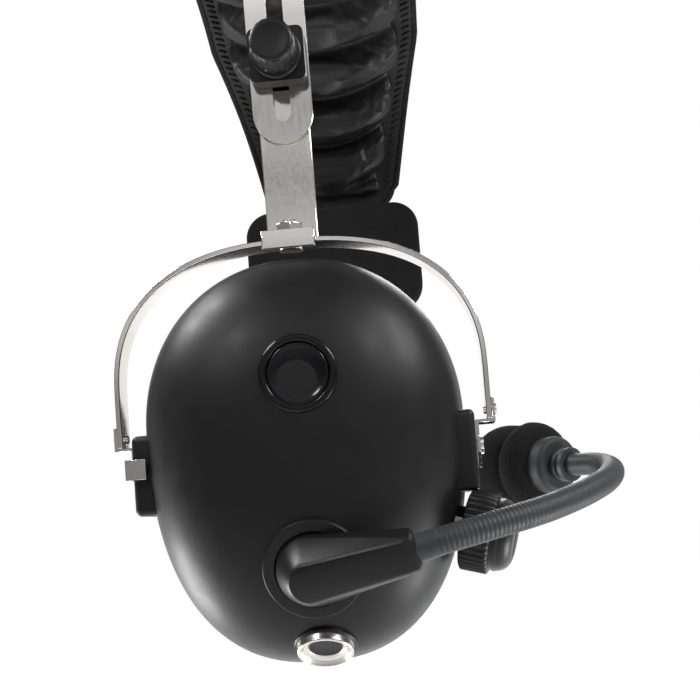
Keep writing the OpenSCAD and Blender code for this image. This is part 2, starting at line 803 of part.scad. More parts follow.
module baffle_plate() {
    color("#2a2b2d")
        difference() {
            egg_plate(cup_wall + 0.2, baffle_t, baffle_y);
            face_frame(0, baffle_y - 1, 0)
                cylinder(d = driver_hole_d, h = baffle_t + 2);
            at_bosses()
                translate([0, 0, -baffle_t - 1])
                    cylinder(d = pilot_d + 2 * hole_gap, h = baffle_t + 2);
            at_bosses()
                translate([0, 0, -baffle_t - 1])
                    cylinder(d = screw_head_d + 2 * hole_gap, h = screw_head_h + 1);
            at_retainer_screws()
                translate([0, 0, -baffle_t - 1])
                    cylinder(d = pilot_d, h = baffle_t + 2);
        }
}
screw_head_d = 4.6;
screw_head_h = 1.4;
screw_l = 8;
retainer_d = flange_d + 12;
module at_retainer_screws() {
    for (a = [30, 150, 270])
        face_frame((flange_d / 2 + 3) * cos(a), baffle_back_y, (flange_d / 2 + 3) * sin(a))
            children();
}
retainer_t = 1.5;
module housing_screws() {
    color("silver") {
        at_bosses()
            translate([0, 0, -baffle_t])
                union() {
                    cylinder(d = screw_head_d, h = screw_head_h);
                    cylinder(d = pilot_d, h = screw_l);
                }
        at_retainer_screws()
            translate([0, 0, -baffle_t])
                union() {
                    cylinder(d = pilot_d, h = baffle_t + flange_t + retainer_t + e);
                    translate([0, 0, baffle_t + flange_t + retainer_t])
                        cylinder(d = screw_head_d, h = screw_head_h);
                }
    }
}
module earphone_driver() {
    color("#3a3b3d")
        face_frame(0, baffle_back_y, 0)
            difference() {
                union() {
                    cylinder(d = flange_d, h = flange_t);
                    cylinder(d = driver_d - 1, h = 5.5);
                    cylinder(d = driver_d * 0.55, h = 9);
                }
                translate([0, 0, -1])
                    cylinder(d1 = driver_d - 8, d2 = driver_d * 0.4, h = 4.5);
            }
}
module driver_retainer() {
    color("#26272a")
        face_frame(0, baffle_back_y, 0)
            difference() {
                cylinder(d = retainer_d, h = flange_t + retainer_t);
                translate([0, 0, -1])
                    cylinder(d = flange_d + 2 * hole_gap, h = flange_t + 1);
                translate([0, 0, flange_t - 1])
                    cylinder(d = driver_d - 1 + 2 * hole_gap, h = retainer_t + 2);
                for (a = [30, 150, 270])
                    rotate([0, 0, a])
                        translate([flange_d / 2 + 3, 0, -1])
                            cylinder(d = pilot_d + 2 * hole_gap, h = flange_t + retainer_t + 2);
            }
}
seal_turn = [for (i = [0 : 11]) 15 + i * 30];
// Rounded cross-section of the seal: distance in from the outside and height towards the head
function seal_section(a) = [seal_w / 2 - seal_w / 2 * signed_power(cos(a), 0.75),
    seal_t / 2 + seal_t / 2 * signed_power(sin(a), 0.75)];
module ear_seal() {
    color("#18191a")
        loop_skin([for (i = [0 : egg_sides - 1])
            [for (a = seal_turn) let (q = seal_section(a), p = egg(i * 360 / egg_sides, q[0]))
                [p[0], -rim_y + soft_gap + q[1], cup_wide_z + p[1]]]]);
}
foam_t = 2.4;
module seal_foam() {
    color("#101010")
        egg_plate(seal_w + 1.5, foam_t, baffle_y - soft_gap - foam_t);
}
module acoustic_foam() {
    color("#4b4c4e")
        difference() {
            egg_plate(cup_wall + boss_d + 1.6, 4, baffle_back_y + soft_gap);
            face_frame(0, baffle_back_y - 1, 0)
                cylinder(d = retainer_d + 1, h = 8);
            block([jack_body_d + 4, 20, cup_bottom_h], [face_x, -baffle_back_y, -cup_bottom_h / 2 - 20]);
        }
}

// ---- Push-to-talk switch ----
bezel_t = 1.4;
ptt_tube_l = 7.5;
module ptt_bezel() {
    color("#0f0f10")
        face_frame(face_x, ptt_y - 0.6, ptt_z)
            difference() {
                union() {
                    cylinder(d = ptt_bezel_d, h = bezel_t);
                    translate([0, 0, -ptt_tube_l])
                        cylinder(d = ptt_tube_d, h = ptt_tube_l + e);
                }
                translate([0, 0, -ptt_tube_l - 1])
                    cylinder(d = ptt_button_d + 2 * run_gap, h = ptt_tube_l + bezel_t + 2);
            }
}
module ptt_nut() {
    color("#2a2a2b")
        face_frame(face_x, ptt_y - cup_wall - 4.8, ptt_z)
            difference() {
                cylinder(d = ptt_tube_d + 3.4, h = 2);
                translate([0, 0, -1])
                    cylinder(d = ptt_tube_d, h = 4);
            }
}
button_l = 4.6;
button_top_y = ptt_y - 0.6 + bezel_t - 0.3;
module ptt_button() {
    color("#111112")
        face_frame(face_x, button_top_y - button_l, ptt_z)
            difference() {
                union() {
                    cylinder(d = ptt_button_d, h = button_l);
                    translate([0, 0, -1.2])
                        cylinder(d = 3, h = 1.3);
                }
                translate([0, 0, button_l + 26])
                    sphere(d = 2 * 27, $fn = 64);
            }
}
switch_top_y = button_top_y - button_l - 1.2 - ptt_travel - body_gap;
module ptt_switch() {
    color("#333436")
        face_frame(face_x, board_top_y, ptt_z)
            union() {
                block([8, 8, switch_top_y - board_top_y], [0, 0, (switch_top_y - board_top_y) / 2]);
                cylinder(d = 7.4, h = switch_top_y - board_top_y + 0.2);
            }
}
module ptt_spring() {
    color("silver")
        face_frame(face_x, board_top_y, ptt_z)
            tube(12.4, 11.6, button_top_y - button_l - board_top_y - 0.1);
}
board_w = 38;
board_h = 27;
board_mid = [1.5, 19];
module circuit_board() {
    color("darkgreen")
        difference() {
            face_frame(board_mid[0], board_y, board_mid[1])
                block([board_w, board_h, board_t], [0, 0, board_t / 2]);
            for (p = post_places)
                face_frame(p[0], board_y - 1, p[1])
                    cylinder(d = pilot_d + 2 * hole_gap, h = board_t + 2);
        }
}
module board_screws() {
    color("silver")
        for (p = post_places)
            face_frame(p[0], board_y - screw_head_h, p[1])
                union() {
                    cylinder(d = screw_head_d, h = screw_head_h);
                    cylinder(d = pilot_d, h = screw_head_h + board_t + 4);
                }
}

// ---- Volume control ----
pot_seat = -pot_wall - 0.4;
module volume_pot() {
    color("#3d3e40")
        volume_frame()
            union() {
                translate([0, 0, pot_seat - 7])
                    cylinder(d = 12.4, h = 7);
                translate([0, 0, pot_seat])
                    cylinder(d = pot_bush_d, h = pot_wall + 0.4 + 2.6);
                cylinder(d = 3, h = 10);
            }
}
module volume_pot_nut() {
    color("silver")
        volume_frame()
            difference() {
                translate([0, 0, -0.4])
                    hex(9.6, 2);
                translate([0, 0, -1])
                    cylinder(d = pot_bush_d, h = 4);
            }
}
flutes = 40;
knob_lift = 2.2;
module volume_knob() {
    grip_l = volume_knob_l - 3;
    grip_r = volume_knob_d / 2 - 0.5;
    bore_r = 1.5 + run_gap;
    color("#1a1a1b")
        volume_frame()
            translate([0, 0, knob_lift]) {
                rotate_extrude()
                    polygon([
                        [bore_r, 1.6], [7, 1.6], [7, 0], [grip_r, 0], [grip_r, grip_l],
                        [grip_r - 2.5, volume_knob_l], [grip_r - 4.3, volume_knob_l],
                        [grip_r - 5.5, volume_knob_l - 0.8], [0, volume_knob_l - 0.8],
                        [0, 8.6], [bore_r, 8.6]
                    ]);
                for (i = [0 : flutes - 1])
                    rotate([0, 0, i * 360 / flutes])
                        block([0.9, 0.8, grip_l - 0.8], [grip_r - 0.05, 0, grip_l / 2]);
            }
}

// ---- Plug socket ----
jack_body_d = 12.4;
module jack_body() {
    color("gainsboro")
        socket_frame()
            difference() {
                union() {
                    cylinder_between(-socket_l, -socket_seat_l, jack_body_d);
                    cylinder_between(-socket_seat_l, 0.8, jack_thread_d);
                }
                cylinder_between(-socket_l - 1, 2, socket_d);
            }
}
module cylinder_between(low, high, d) {
    translate([0, 0, low])
        cylinder(d = d, h = high - low);
}
bezel_nut_t = 1.8;
module jack_bezel_nut() {
    color("gainsboro")
        socket_frame()
            difference() {
                union() {
                    cylinder(d = socket_bezel_d, h = bezel_nut_t - 0.5);
                    translate([0, 0, bezel_nut_t - 0.5 - e])
                        cylinder(d1 = socket_bezel_d, d2 = socket_bezel_d - 1, h = 0.5);
                }
                translate([0, 0, -1])
                    cylinder(d = jack_thread_d, h = 1.8);
                translate([0, 0, 0.8 - e])
                    cylinder(d1 = jack_thread_d - 1, d2 = jack_thread_d + 0.4, h = bezel_nut_t);
            }
}
module jack_contacts() {
    color("goldenrod")
        socket_frame()
            for (a = [-70, 0, 70])
                rotate([0, 0, a])
                    block([1.6, 0.5, 5], [0, jack_body_d / 2 - 1.2, -socket_l - 2.5]);
}

// ---- Boom microphone ----
ring_t = 1;
module boom_base_ring() {
    color("#1b1c1d")
        boom_frame()
            tube(boom_ring_d, boom_hub_d + 2 * body_gap, ring_t);
}
shank_l = seat_l + 4.6;
washer_t = 0.8;
module boom_washer() {
    color("silver")
        boom_frame()
            tube(13, boom_bore_d + 0.4, washer_t, -seat_l - washer_t);
}
module boom_lock_nut() {
    color("silver")
        boom_frame()
            translate([0, 0, -seat_l - washer_t - body_gap - 2.4])
                difference() {
                    hex(12, 2.4);
                    translate([0, 0, -1])
                        cylinder(d = boom_bore_d + 2 * run_gap, h = 5);
                }
}
arm_end_w = 8.8;
arm_end_h = 8.4;
hub_lift = 0.3;
module boom_arm() {
    color("#222325")
        boom_frame()
            rotate([0, 0, boom_angle])
                difference() {
                    union() {
                        hull() {
                            translate([0, 0, ring_t + body_gap])
                                cylinder(d = boom_hub_d, h = 1.2, $fn = 32);
                            translate([0, 0, boom_arm_h + arm_end_h / 2 - 1])
                                cylinder(d = 8.6, h = 1, $fn = 32);
                            block([1, arm_end_w, arm_end_h - 2.4], [boom_arm_l - 0.5, 0, boom_arm_h - 1.2]);
                            block([1, arm_end_w - 2, arm_end_h], [boom_arm_l - 2.5, 0, boom_arm_h]);
                        }
                        cylinder_between(hub_lift, ring_t + 1, boom_hub_d);
                        cylinder_between(-shank_l, 1, boom_bore_d);
                    }
                    translate([0, 0, -shank_l - 1])
                        cylinder(d = 3.4, h = shank_l + 4);
                    translate([boom_arm_l - arm_socket, 0, boom_arm_h])
                        rotate([0, 90, 0])
                            cylinder(d = gooseneck_d + 2 * hole_gap, h = arm_socket + 2);
                }
}
arm_socket = 3;
// The flexible boom's route, in the turret's turned frame turned back into the part's frame
boom_out = [0, -cos(boom_tilt), -sin(boom_tilt)];
boom_rise = [0, -sin(boom_tilt), cos(boom_tilt)];
arm_way = cos(boom_angle) * [1, 0, 0] + sin(boom_angle) * boom_rise;
arm_foot = [face_x, -boom_y, boom_z];
arm_end = arm_foot + boom_arm_h * boom_out + boom_arm_l * arm_way;
route_start = arm_end - (arm_socket - hole_gap) * arm_way;
route_offsets = [[18, 2.6, 4], [30, 8.8, 6.5], [40.5, 18, 9.5], [48.4, 28.8, 12.5], [52.6, 40, 15],
    [53.6, 50.4, 17], [51.6, 58.4, 18.4]];
mic_way = [-0.6, 0.796, 0.08] / norm([-0.6, 0.796, 0.08]);
mic_foot = arm_end + [47.4, 64, 18.9];
route = concat([route_start, arm_end + gooseneck_d * arm_way], [for (o = route_offsets) arm_end + o],
    [mic_foot, mic_foot + gooseneck_d * mic_way]);
function catmull(p, i, t) = let (a = p[max(i - 1, 0)], b = p[i], c = p[i + 1], d = p[min(i + 2, len(p) - 1)])
    0.5 * ((2 * b) + (c - a) * t + (2 * a - 5 * b + 4 * c - d) * t * t + (3 * b - a - 3 * c + d) * t * t * t);
samples_per_stretch = 16;
route_points = [for (i = [0 : len(route) - 2], k = [0 : samples_per_stretch - 1])
    catmull(route, i, k / samples_per_stretch)];
fine = concat(route_points, [route[len(route) - 1]]);
function run_lengths(p, i = 0, sum = 0) = i == len(p) ? []
    : concat([sum], run_lengths(p, i + 1, i + 1 < len(p) ? sum + norm(p[i + 1] - p[i]) : sum));
lengths = run_lengths(fine);
route_len = lengths[len(lengths) - 1];
function at_length(s) = [lookup(s, [for (i = [0 : len(fine) - 1]) [lengths[i], fine[i][0]]]),
    lookup(s, [for (i = [0 : len(fine) - 1]) [lengths[i], fine[i][1]]]),
    lookup(s, [for (i = [0 : len(fine) - 1]) [lengths[i], fine[i][2]]])];
function way_at(s) = let (d = at_length(min(route_len, s + 0.6)) - at_length(max(0, s - 0.6))) d / norm(d);
ribs = floor((route_len - 2 * gooseneck_d) / rib_pitch);
rib_start = (route_len - ribs * rib_pitch) / 2;
rib_depth = 0.3;
function rib_at(i, part, depth) = [rib_start + (i + part) * rib_pitch, depth];
rib_stations = [for (i = [0 : ribs - 1]) each [rib_at(i, 0.35, 0), rib_at(i, 0.85, rib_depth)]];
core_stations = concat([[0, 0], [rib_start, 0]], rib_stations, [[route_len, 0]]);
hose_sides = 8;
function hose_side(t) = cross([0, 0, 1], t) / norm(cross([0, 0, 1], t));
function hose_ring(s, r) =
    let (c = at_length(s), t = way_at(s), u = hose_side(t), v = cross(t, u))
    [for (i = [0 : hose_sides - 1])
        let (a = i * 360 / hose_sides)
        c + r * cos(a) * u + r * sin(a) * v];
hose_bore_d = 2.4;
bore_stations = 30;
module boom_gooseneck() {
    outer = [for (q = core_stations) hose_ring(q[0], gooseneck_d / 2 - q[1])];
    inner = [for (s = steps(route_len, 0, bore_stations)) hose_ring(s, hose_bore_d / 2)];
    color("#3b4247")
        loop_skin(concat(outer, inner));
}
// Frame at the microphone end of the boom, with local z along the microphone's axis
mic_end = route[len(route) - 1] + 0.05 * mic_way;
module mic_frame(z = 0) {
    level = sqrt(mic_way[0] * mic_way[0] + mic_way[1] * mic_way[1]);
    translate(mic_end + z * mic_way)
        rotate([0, atan2(level, mic_way[2]), atan2(mic_way[1], mic_way[0])])
            children();
}
collar_d = 10;
collar_l = 5;
module mic_collar() {
    color("#191a1b")
        mic_frame(-collar_l)
            difference() {
                union() {
                    cylinder(d = collar_d - 1.2, h = collar_l);
                    cylinder(d = collar_d, h = 1.6);
                    translate([0, 0, 2.6])
                        cylinder(d = collar_d, h = 1.4);
                }
                translate([0, 0, -1])
                    cylinder(d = gooseneck_d + 2 * hole_gap, h = collar_l + 2);
            }
}
mic_round = 2.4;
capsule_d = 9.7;
capsule_l = 6.7;
mic_wall = 1.6;
module mic_housing() {
    color("#3c3f42")
        mic_frame()
            difference() {
                rotate_extrude()
                    polygon(concat(
                        [[0, 0]],
                        [for (a = steps(0, 90, 6))
                            [mic_d / 2 - mic_round * (1 - sin(a)), mic_round * (1 - cos(a))]],
                        [[mic_d / 2, mic_l - 1], [mic_d / 2 - 1, mic_l], [0, mic_l]]));
                translate([0, 0, mic_l - capsule_l - 0.6])
                    cylinder(d = capsule_d + 2 * hole_gap, h = capsule_l + 2);
                translate([0, 0, -1])
                    cylinder(d = hose_bore_d, h = mic_l);
            }
}
module mic_capsule() {
    color("silver")
        mic_frame(mic_l - capsule_l - 0.6)
            cylinder(d = capsule_d, h = capsule_l);
}
screen_from = 5;
module mic_windscreen() {
    r = windscreen_d / 2;
    l = windscreen_l;
    hole = mic_d / 2 + soft_gap;
    lobe = 5.4;
    near = [for (a = steps(180, 20, 8)) [r - lobe + lobe * sin(a), lobe + lobe * cos(a)]];
    tip = [for (a = steps(0, 90, 8)) [(r - 0.9) * pow(cos(a), 0.6), l - 9 + 9 * pow(sin(a), 0.8)]];
    color("#0c0c0c")
        mic_frame(screen_from)
            difference() {
                rotate_extrude()
                    polygon(concat([[0, 0]], near, [[r - 1.3, lobe * 2 + 1]], tip));
                translate([0, 0, -1])
                    cylinder(r = hole, h = mic_l - screen_from + soft_gap + 1);
            }
}

// ---- Temple pad ----
temple_clamp_drop = (clamp_z - temple_z) / cos(leg_lean);
plate_t = 1.6;
barrel_d = hinge_pin_d + 2.4;
// Distance from mid-head to the hinge pin, which lies just inside the far strap
hinge_y = band_half_span - (clamp_z - temple_z) * tan(leg_lean)
    + (strap_inner - barrel_d / 2 + 0.5) * cos(leg_lean);
pad_back_y = hinge_y - barrel_d / 2 - body_gap - plate_t;
module temple_strap() {
    color("silver")
        far_side()
            difference() {
                union() {
                    leg_sheet(-temple_clamp_drop, strap_top, strap_w, strap_t, strap_mid);
                    translate([-strap_w / 2, -hinge_y, temple_z])
                        rotate([0, 90, 0])
                            cylinder(d = barrel_d, h = strap_w);
                }
                translate([-strap_w, -hinge_y, temple_z])
                    rotate([0, 90, 0])
                        cylinder(d = hinge_pin_d + 2 * run_gap, h = 2 * strap_w);
                on_leg()
                    translate([0, 0, -6])
                        cylinder(d = screw_hole_d, h = 12);
            }
}
module temple_clamp_block() {
    far_side()
        clamp_block();
}
module temple_clamp_screw() {
    far_side()
        clamp_screw();
}
module temple_clamp_knob() {
    far_side()
        clamp_knob();
}
ear_x = band_w / 2 + 0.6;
ear_t = 1.6;
module temple_hinge_pin() {
    color("silver")
        temple_side()
            translate([-ear_x - ear_t - 0.6, hinge_y, temple_z])
                rotate([0, 90, 0])
                    union() {
                        cylinder(d = hinge_pin_d, h = 2 * (ear_x + ear_t + 0.6));
                        for (z = [0, 2 * (ear_x + ear_t) + 0.6])
                            translate([0, 0, z])
                                cylinder(d = hinge_pin_d + 1.6, h = 0.6);
                    }
}
module temple_plate() {
    color("#2b2c2e")
        temple_side()
        difference() {
            union() {
                translate([0, pad_back_y + plate_t, temple_z])
                    rotate([90, 0, 0])
                        rounded_plate(temple_w - 6, temple_h - 6, temple_r - 3, plate_t);
                for (x = [-1, 1])
                    translate([x * (ear_x + ear_t / 2), 0, temple_z])
                        union() {
                            block([ear_t, hinge_y - pad_back_y - plate_t + e, barrel_d + 1.6],
                                [0, (hinge_y + pad_back_y + plate_t) / 2, 0]);
                            translate([-ear_t / 2, hinge_y, 0])
                                rotate([0, 90, 0])
                                    cylinder(d = barrel_d + 1.6, h = ear_t);
                        }
            }
            translate([-temple_w / 2, hinge_y, temple_z])
                rotate([0, 90, 0])
                    cylinder(d = hinge_pin_d, h = temple_w);
        }
}
module temple_pad() {
    color("#141414")
        temple_side()
            translate([0, pad_back_y - soft_gap, temple_z])
                rotate([90, 0, 0])
                    rounded_plate(temple_w, temple_h, temple_r, temple_t);
}

headband_spring();
head_cushion();
cushion_backing();
edge_binding();
cushion_straps();
cup_strap();
cup_clamp_block();
cup_clamp_screw();
cup_clamp_knob();
stirrup_bolt();
stirrup_nut();
stirrup();
front_pivot_clip();
rear_pivot_clip();
clip_rivets();
pivot_pins();
cup_shell();
baffle_plate();
housing_screws();
earphone_driver();
driver_retainer();
ear_seal();
seal_foam();
acoustic_foam();
circuit_board();
board_screws();
ptt_bezel();
ptt_nut();
ptt_button();
ptt_spring();
ptt_switch();
volume_pot();
volume_pot_nut();
volume_knob();
jack_body();
jack_bezel_nut();
jack_contacts();
boom_base_ring();
boom_washer();
boom_lock_nut();
boom_arm();
boom_gooseneck();
mic_collar();
mic_housing();
mic_capsule();
mic_windscreen();
temple_strap();
temple_clamp_block();
temple_clamp_screw();
temple_clamp_knob();
temple_hinge_pin();
temple_plate();
temple_pad();
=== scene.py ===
"""Single-ear aviation headset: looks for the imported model, laid out as an add-on and run as a script."""

import math

import bmesh
import bpy
from bpy.props import FloatProperty, FloatVectorProperty, IntProperty, PointerProperty
from mathutils import Matrix, Vector, noise


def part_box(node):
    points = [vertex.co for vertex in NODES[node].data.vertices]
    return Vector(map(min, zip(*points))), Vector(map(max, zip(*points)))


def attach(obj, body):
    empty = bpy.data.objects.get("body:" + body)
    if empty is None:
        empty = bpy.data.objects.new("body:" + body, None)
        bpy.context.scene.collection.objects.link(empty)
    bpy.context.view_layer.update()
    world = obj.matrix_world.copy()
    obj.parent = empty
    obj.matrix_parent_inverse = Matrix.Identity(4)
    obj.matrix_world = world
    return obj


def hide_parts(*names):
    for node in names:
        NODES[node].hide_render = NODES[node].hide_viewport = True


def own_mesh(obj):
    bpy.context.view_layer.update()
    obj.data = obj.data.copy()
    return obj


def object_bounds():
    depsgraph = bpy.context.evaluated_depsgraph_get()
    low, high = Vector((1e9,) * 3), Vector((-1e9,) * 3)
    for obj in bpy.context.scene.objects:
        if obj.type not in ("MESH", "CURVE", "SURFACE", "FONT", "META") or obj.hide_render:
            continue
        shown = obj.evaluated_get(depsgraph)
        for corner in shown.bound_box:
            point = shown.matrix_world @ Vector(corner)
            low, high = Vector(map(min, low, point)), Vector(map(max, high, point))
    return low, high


bl_info = {
    "name": "Aviation Headset",
    "version": (1, 0, 0),
    "blender": (4, 5, 0),
    "location": "View3D > Sidebar > Headset",
    "description": "Dresses the packed headset with its padding, plastics and plated metal",
    "category": "Add Mesh",
}

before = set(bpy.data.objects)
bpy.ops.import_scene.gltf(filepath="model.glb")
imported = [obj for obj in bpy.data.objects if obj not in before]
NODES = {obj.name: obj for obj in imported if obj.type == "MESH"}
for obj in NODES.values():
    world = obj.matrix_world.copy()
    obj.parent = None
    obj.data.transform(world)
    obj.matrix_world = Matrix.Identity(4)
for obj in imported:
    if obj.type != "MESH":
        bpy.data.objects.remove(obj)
CAD_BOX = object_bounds()
MM = 0.001

# Sizes shared by several pieces, in millimetres, as the part's source has them
LEAN_TURN = 4.5
LEAN = math.radians(LEAN_TURN)
LEG_Y = 84
LEG_TOP_Z = 124
CUP_WIDE_Z = 9.0
RIM_Y = 78.0
CUP_DEPTH = 36.0
FACE_X = 2.5
BOOM_FOOT = (FACE_X, -110.201, -28)

# Points closer than this, in millimetres, are joined
WELD = 1e-4
# Length of the simulations that fill the padding
CLOTH_FRAMES = 20


# ---------------------------------------------------------------- settings
def color_property(name, description, default):
    return FloatVectorProperty(
        name=name, description=description, subtype="COLOR", size=3, min=0.0, max=1.0, default=default
    )


def amount_property(name, description, default, low=0.0, high=1.0):
    return FloatProperty(name=name, description=description, min=low, max=high, default=default)


def length_property(name, description, default_mm, low_mm, high_mm):
    return FloatProperty(
        name=name,
        description=description,
        unit="LENGTH",
        min=low_mm * MM,
        max=high_mm * MM,
        default=default_mm * MM,
    )


class HeadsetPlasticSettings(bpy.types.PropertyGroup):
    cup_color: color_property("Cup", "Colour of the satin cup", (0.0055, 0.0055, 0.006))
    cup_roughness: amount_property("Cup Roughness", "Roughness of the satin cup", 0.43)
    small_color: color_property("Fittings", "Colour of knobs, blocks and bezels", (0.005, 0.005, 0.0055))
    hose_color: color_property("Boom", "Colour of the flexible boom", (0.022, 0.024, 0.026))
    rib_pitch: length_property("Rib Pitch", "Distance between the boom's ribs", 1.1, 0.8, 3.0)


class HeadsetMetalSettings(bpy.types.PropertyGroup):
    nickel_color: color_property("Nickel", "Colour of the plated straps and stirrup", (0.80, 0.755, 0.71))
    nickel_roughness: amount_property("Nickel Roughness", "Roughness of the plating", 0.08)
    spring_color: color_property("Spring Steel", "Colour of the headband spring", (0.78, 0.73, 0.69))


class HeadsetPaddingSettings(bpy.types.PropertyGroup):
    leather_color: color_property("Leatherette", "Colour of the padding's cover", (0.006, 0.006, 0.0065))
    thread_color: color_property("Thread", "Colour of the whip stitch", (0.010, 0.010, 0.010))
    stitch_pitch: length_property("Stitch Pitch", "Distance between two stitches", 2.8, 1.5, 6.0)
    channels: IntProperty(
        name="Channels", description="Filled channels of the cushion", min=4, max=16, default=10
    )


class HeadsetStageSettings(bpy.types.PropertyGroup):
    backdrop_color: color_property("Backdrop", "Colour of floor and backdrop", (1.0, 1.0, 1.0))
    light_power: amount_property("Light Power", "Strength of all lamps", 1.0, 0.0, 4.0)


# ---------------------------------------------------------------- materials
class Finish:
    """Builds one procedural material, node by node."""

    def __init__(self, name, color, roughness, metallic=0.0, specular=0.5):
        self.material = bpy.data.materials.new(name)
        self.material.use_nodes = True
        self.tree = self.material.node_tree
        self.shader = self.tree.nodes["Principled BSDF"]
        self.shader.inputs["Base Color"].default_value = (*color, 1.0)
        self.shader.inputs["Roughness"].default_value = roughness
        self.shader.inputs["Metallic"].default_value = metallic
        self.shader.inputs["Specular IOR Level"].default_value = specular
        self.coordinates = self.tree.nodes.new("ShaderNodeTexCoord").outputs["Object"]
        self.material.diffuse_color = (*color, 1.0)

    def add(self, kind, settings=None, **inputs):
        node = self.tree.nodes.new(kind)
        for key, value in (settings or {}).items():
            setattr(node, key, value)
        for key, value in inputs.items():
            socket = node.inputs[key.replace("_", " ")]
            if isinstance(value, bpy.types.NodeSocket):
                self.tree.links.new(value, socket)
            else:
                socket.default_value = value
        return node

    def mapped(self, scale=(1, 1, 1), turn=(0, 0, 0), place=(0, 0, 0)):
        node = self.add(
            "ShaderNodeMapping", Vector=self.coordinates, Scale=scale, Rotation=turn, Location=place
        )
        return node.outputs[0]

    def noise(self, scale, detail=3.0, roughness=0.55, vector=None):
        node = self.add(
            "ShaderNodeTexNoise",
            Vector=vector or self.coordinates,
            Scale=scale,
            Detail=detail,
            Roughness=roughness,
        )
        return node.outputs["Fac"]

    def cells(self, scale, feature="F1", vector=None, randomness=1.0):
        node = self.add(
            "ShaderNodeTexVoronoi",
            {"feature": feature},
            Vector=vector or self.coordinates,
            Scale=scale,
            Randomness=randomness,
        )
        return node.outputs["Distance"]

    def ramp(self, factor, low, high, start=0.0, end=1.0):
        node = self.add(
            "ShaderNodeMapRange",
            Value=factor,
            From_Min=start,
            From_Max=end,
            To_Min=low,
            To_Max=high,
        )
        return node.outputs[0]

    def mix_colors(self, factor, low, high):
        node = self.add("ShaderNodeMix", {"data_type": "RGBA"})
        node.inputs[0].default_value = 0.5
        if isinstance(factor, bpy.types.NodeSocket):
            self.tree.links.new(factor, node.inputs[0])
        for index, value in ((6, low), (7, high)):
            if isinstance(value, bpy.types.NodeSocket):
                self.tree.links.new(value, node.inputs[index])
            else:
                node.inputs[index].default_value = (*value, 1.0)
        return node.outputs[2]

    def set(self, **inputs):
        for key, value in inputs.items():
            socket = self.shader.inputs[key.replace("_", " ")]
            if isinstance(value, bpy.types.NodeSocket):
                self.tree.links.new(value, socket)
            else:
                socket.default_value = value
        return self

    def bump(self, height, strength, distance_mm, under=None):
        extra = {"Normal": under} if under else {}
        distance = distance_mm * MM
        node = self.add("ShaderNodeBump", Height=height, Strength=strength, Distance=distance, **extra)
        self.tree.links.new(node.outputs[0], self.shader.inputs["Normal"])
        return node.outputs[0]


def shade(color, factor):
    return tuple(min(1.0, channel * factor) for channel in color)


def satin_plastic(name, color, roughness, grain=1500.0, depth=0.05, specular=0.4):
    finish = Finish(name, color, roughness, specular=specular)
    broad = finish.noise(28.0, 2.0)
    finish.set(Base_Color=finish.mix_colors(broad, shade(color, 0.85), shade(color, 1.2)))
    finish.set(Roughness=finish.ramp(finish.noise(160.0, 4.0), roughness - 0.04, roughness + 0.05, 0.3, 0.7))
    finish.bump(finish.noise(grain, 2.0), 0.35, depth)
    return finish.material


def gloss_plastic(name, color):
    finish = Finish(name, color, 0.12, specular=0.22)
    finish.set(Roughness=finish.ramp(finish.noise(220.0, 4.0), 0.08, 0.2, 0.3, 0.75))
    finish.set(Base_Color=finish.mix_colors(finish.noise(60.0), shade(color, 0.9), shade(color, 1.1)))
    return finish.material


def plated_metal(name, color, roughness, streaks=(1, 1, 1)):
    finish = Finish(name, color, roughness, metallic=1.0)
    fine = finish.noise(900.0, 3.0, vector=finish.mapped(streaks))
    cloud = finish.noise(70.0, 3.0)
    finish.set(Base_Color=finish.mix_colors(cloud, shade(color, 0.93), shade(color, 1.06)))
    finish.set(Roughness=finish.ramp(fine, roughness - 0.03, roughness + 0.05, 0.25, 0.75))
    finish.bump(fine, 0.035, 0.01)
    return finish.material


def leatherette(name, color):
    finish = Finish(name, color, 0.40, specular=0.2)
    folds = finish.noise(220.0, 4.0)
    grain = finish.cells(1300.0, "SMOOTH_F1", vector=finish.mapped((1, 0.8, 1)))
    finish.set(Base_Color=finish.mix_colors(folds, shade(color, 0.75), shade(color, 1.35)))
    finish.set(Roughness=finish.ramp(folds, 0.34, 0.5, 0.3, 0.7))
    under = finish.bump(grain, 0.35, 0.12)
    finish.bump(folds, 0.25, 0.25, under)
    return finish.material


def open_foam(name, color, cell_size=0.5, depth=0.25):
    finish = Finish(name, color, 0.97, specular=0.06)
    cells = finish.cells(1000.0 / cell_size, vector=finish.mapped())
    patches = finish.noise(90.0, 3.0)
    finish.set(Base_Color=finish.mix_colors(patches, shade(color, 0.7), shade(color, 1.4)))
    under = finish.bump(cells, 0.7, depth)
    finish.bump(finish.noise(700.0, 4.0), 0.5, depth, under)
    return finish.material


def woven_tape(name, color):
    finish = Finish(name, color, 0.8, specular=0.15)
    both = finish.add("ShaderNodeMath", {"operation": "MULTIPLY"})
    for index, (way, scale) in enumerate((("X", 260.0), ("Z", 240.0))):
        threads = finish.add(
            "ShaderNodeTexWave",
            {"bands_direction": way},
            Vector=finish.coordinates,
            Scale=scale,
            Distortion=0.6,
        )
        finish.tree.links.new(threads.outputs["Fac"], both.inputs[index])
    finish.set(Base_Color=finish.mix_colors(both.outputs[0], shade(color, 0.6), shade(color, 1.5)))
    finish.bump(both.outputs[0], 0.6, 0.2)
    return finish.material


def soft_rubber(name, color):
    finish = Finish(name, color, 0.5, specular=0.25)
    dust = finish.noise(140.0, 4.0)
    finish.set(Base_Color=finish.mix_colors(dust, shade(color, 0.8), shade(color, 1.25)))
    finish.set(Roughness=finish.ramp(dust, 0.42, 0.6, 0.3, 0.7))
    finish.bump(finish.noise(1800.0, 2.0), 0.25, 0.04)
    return finish.material


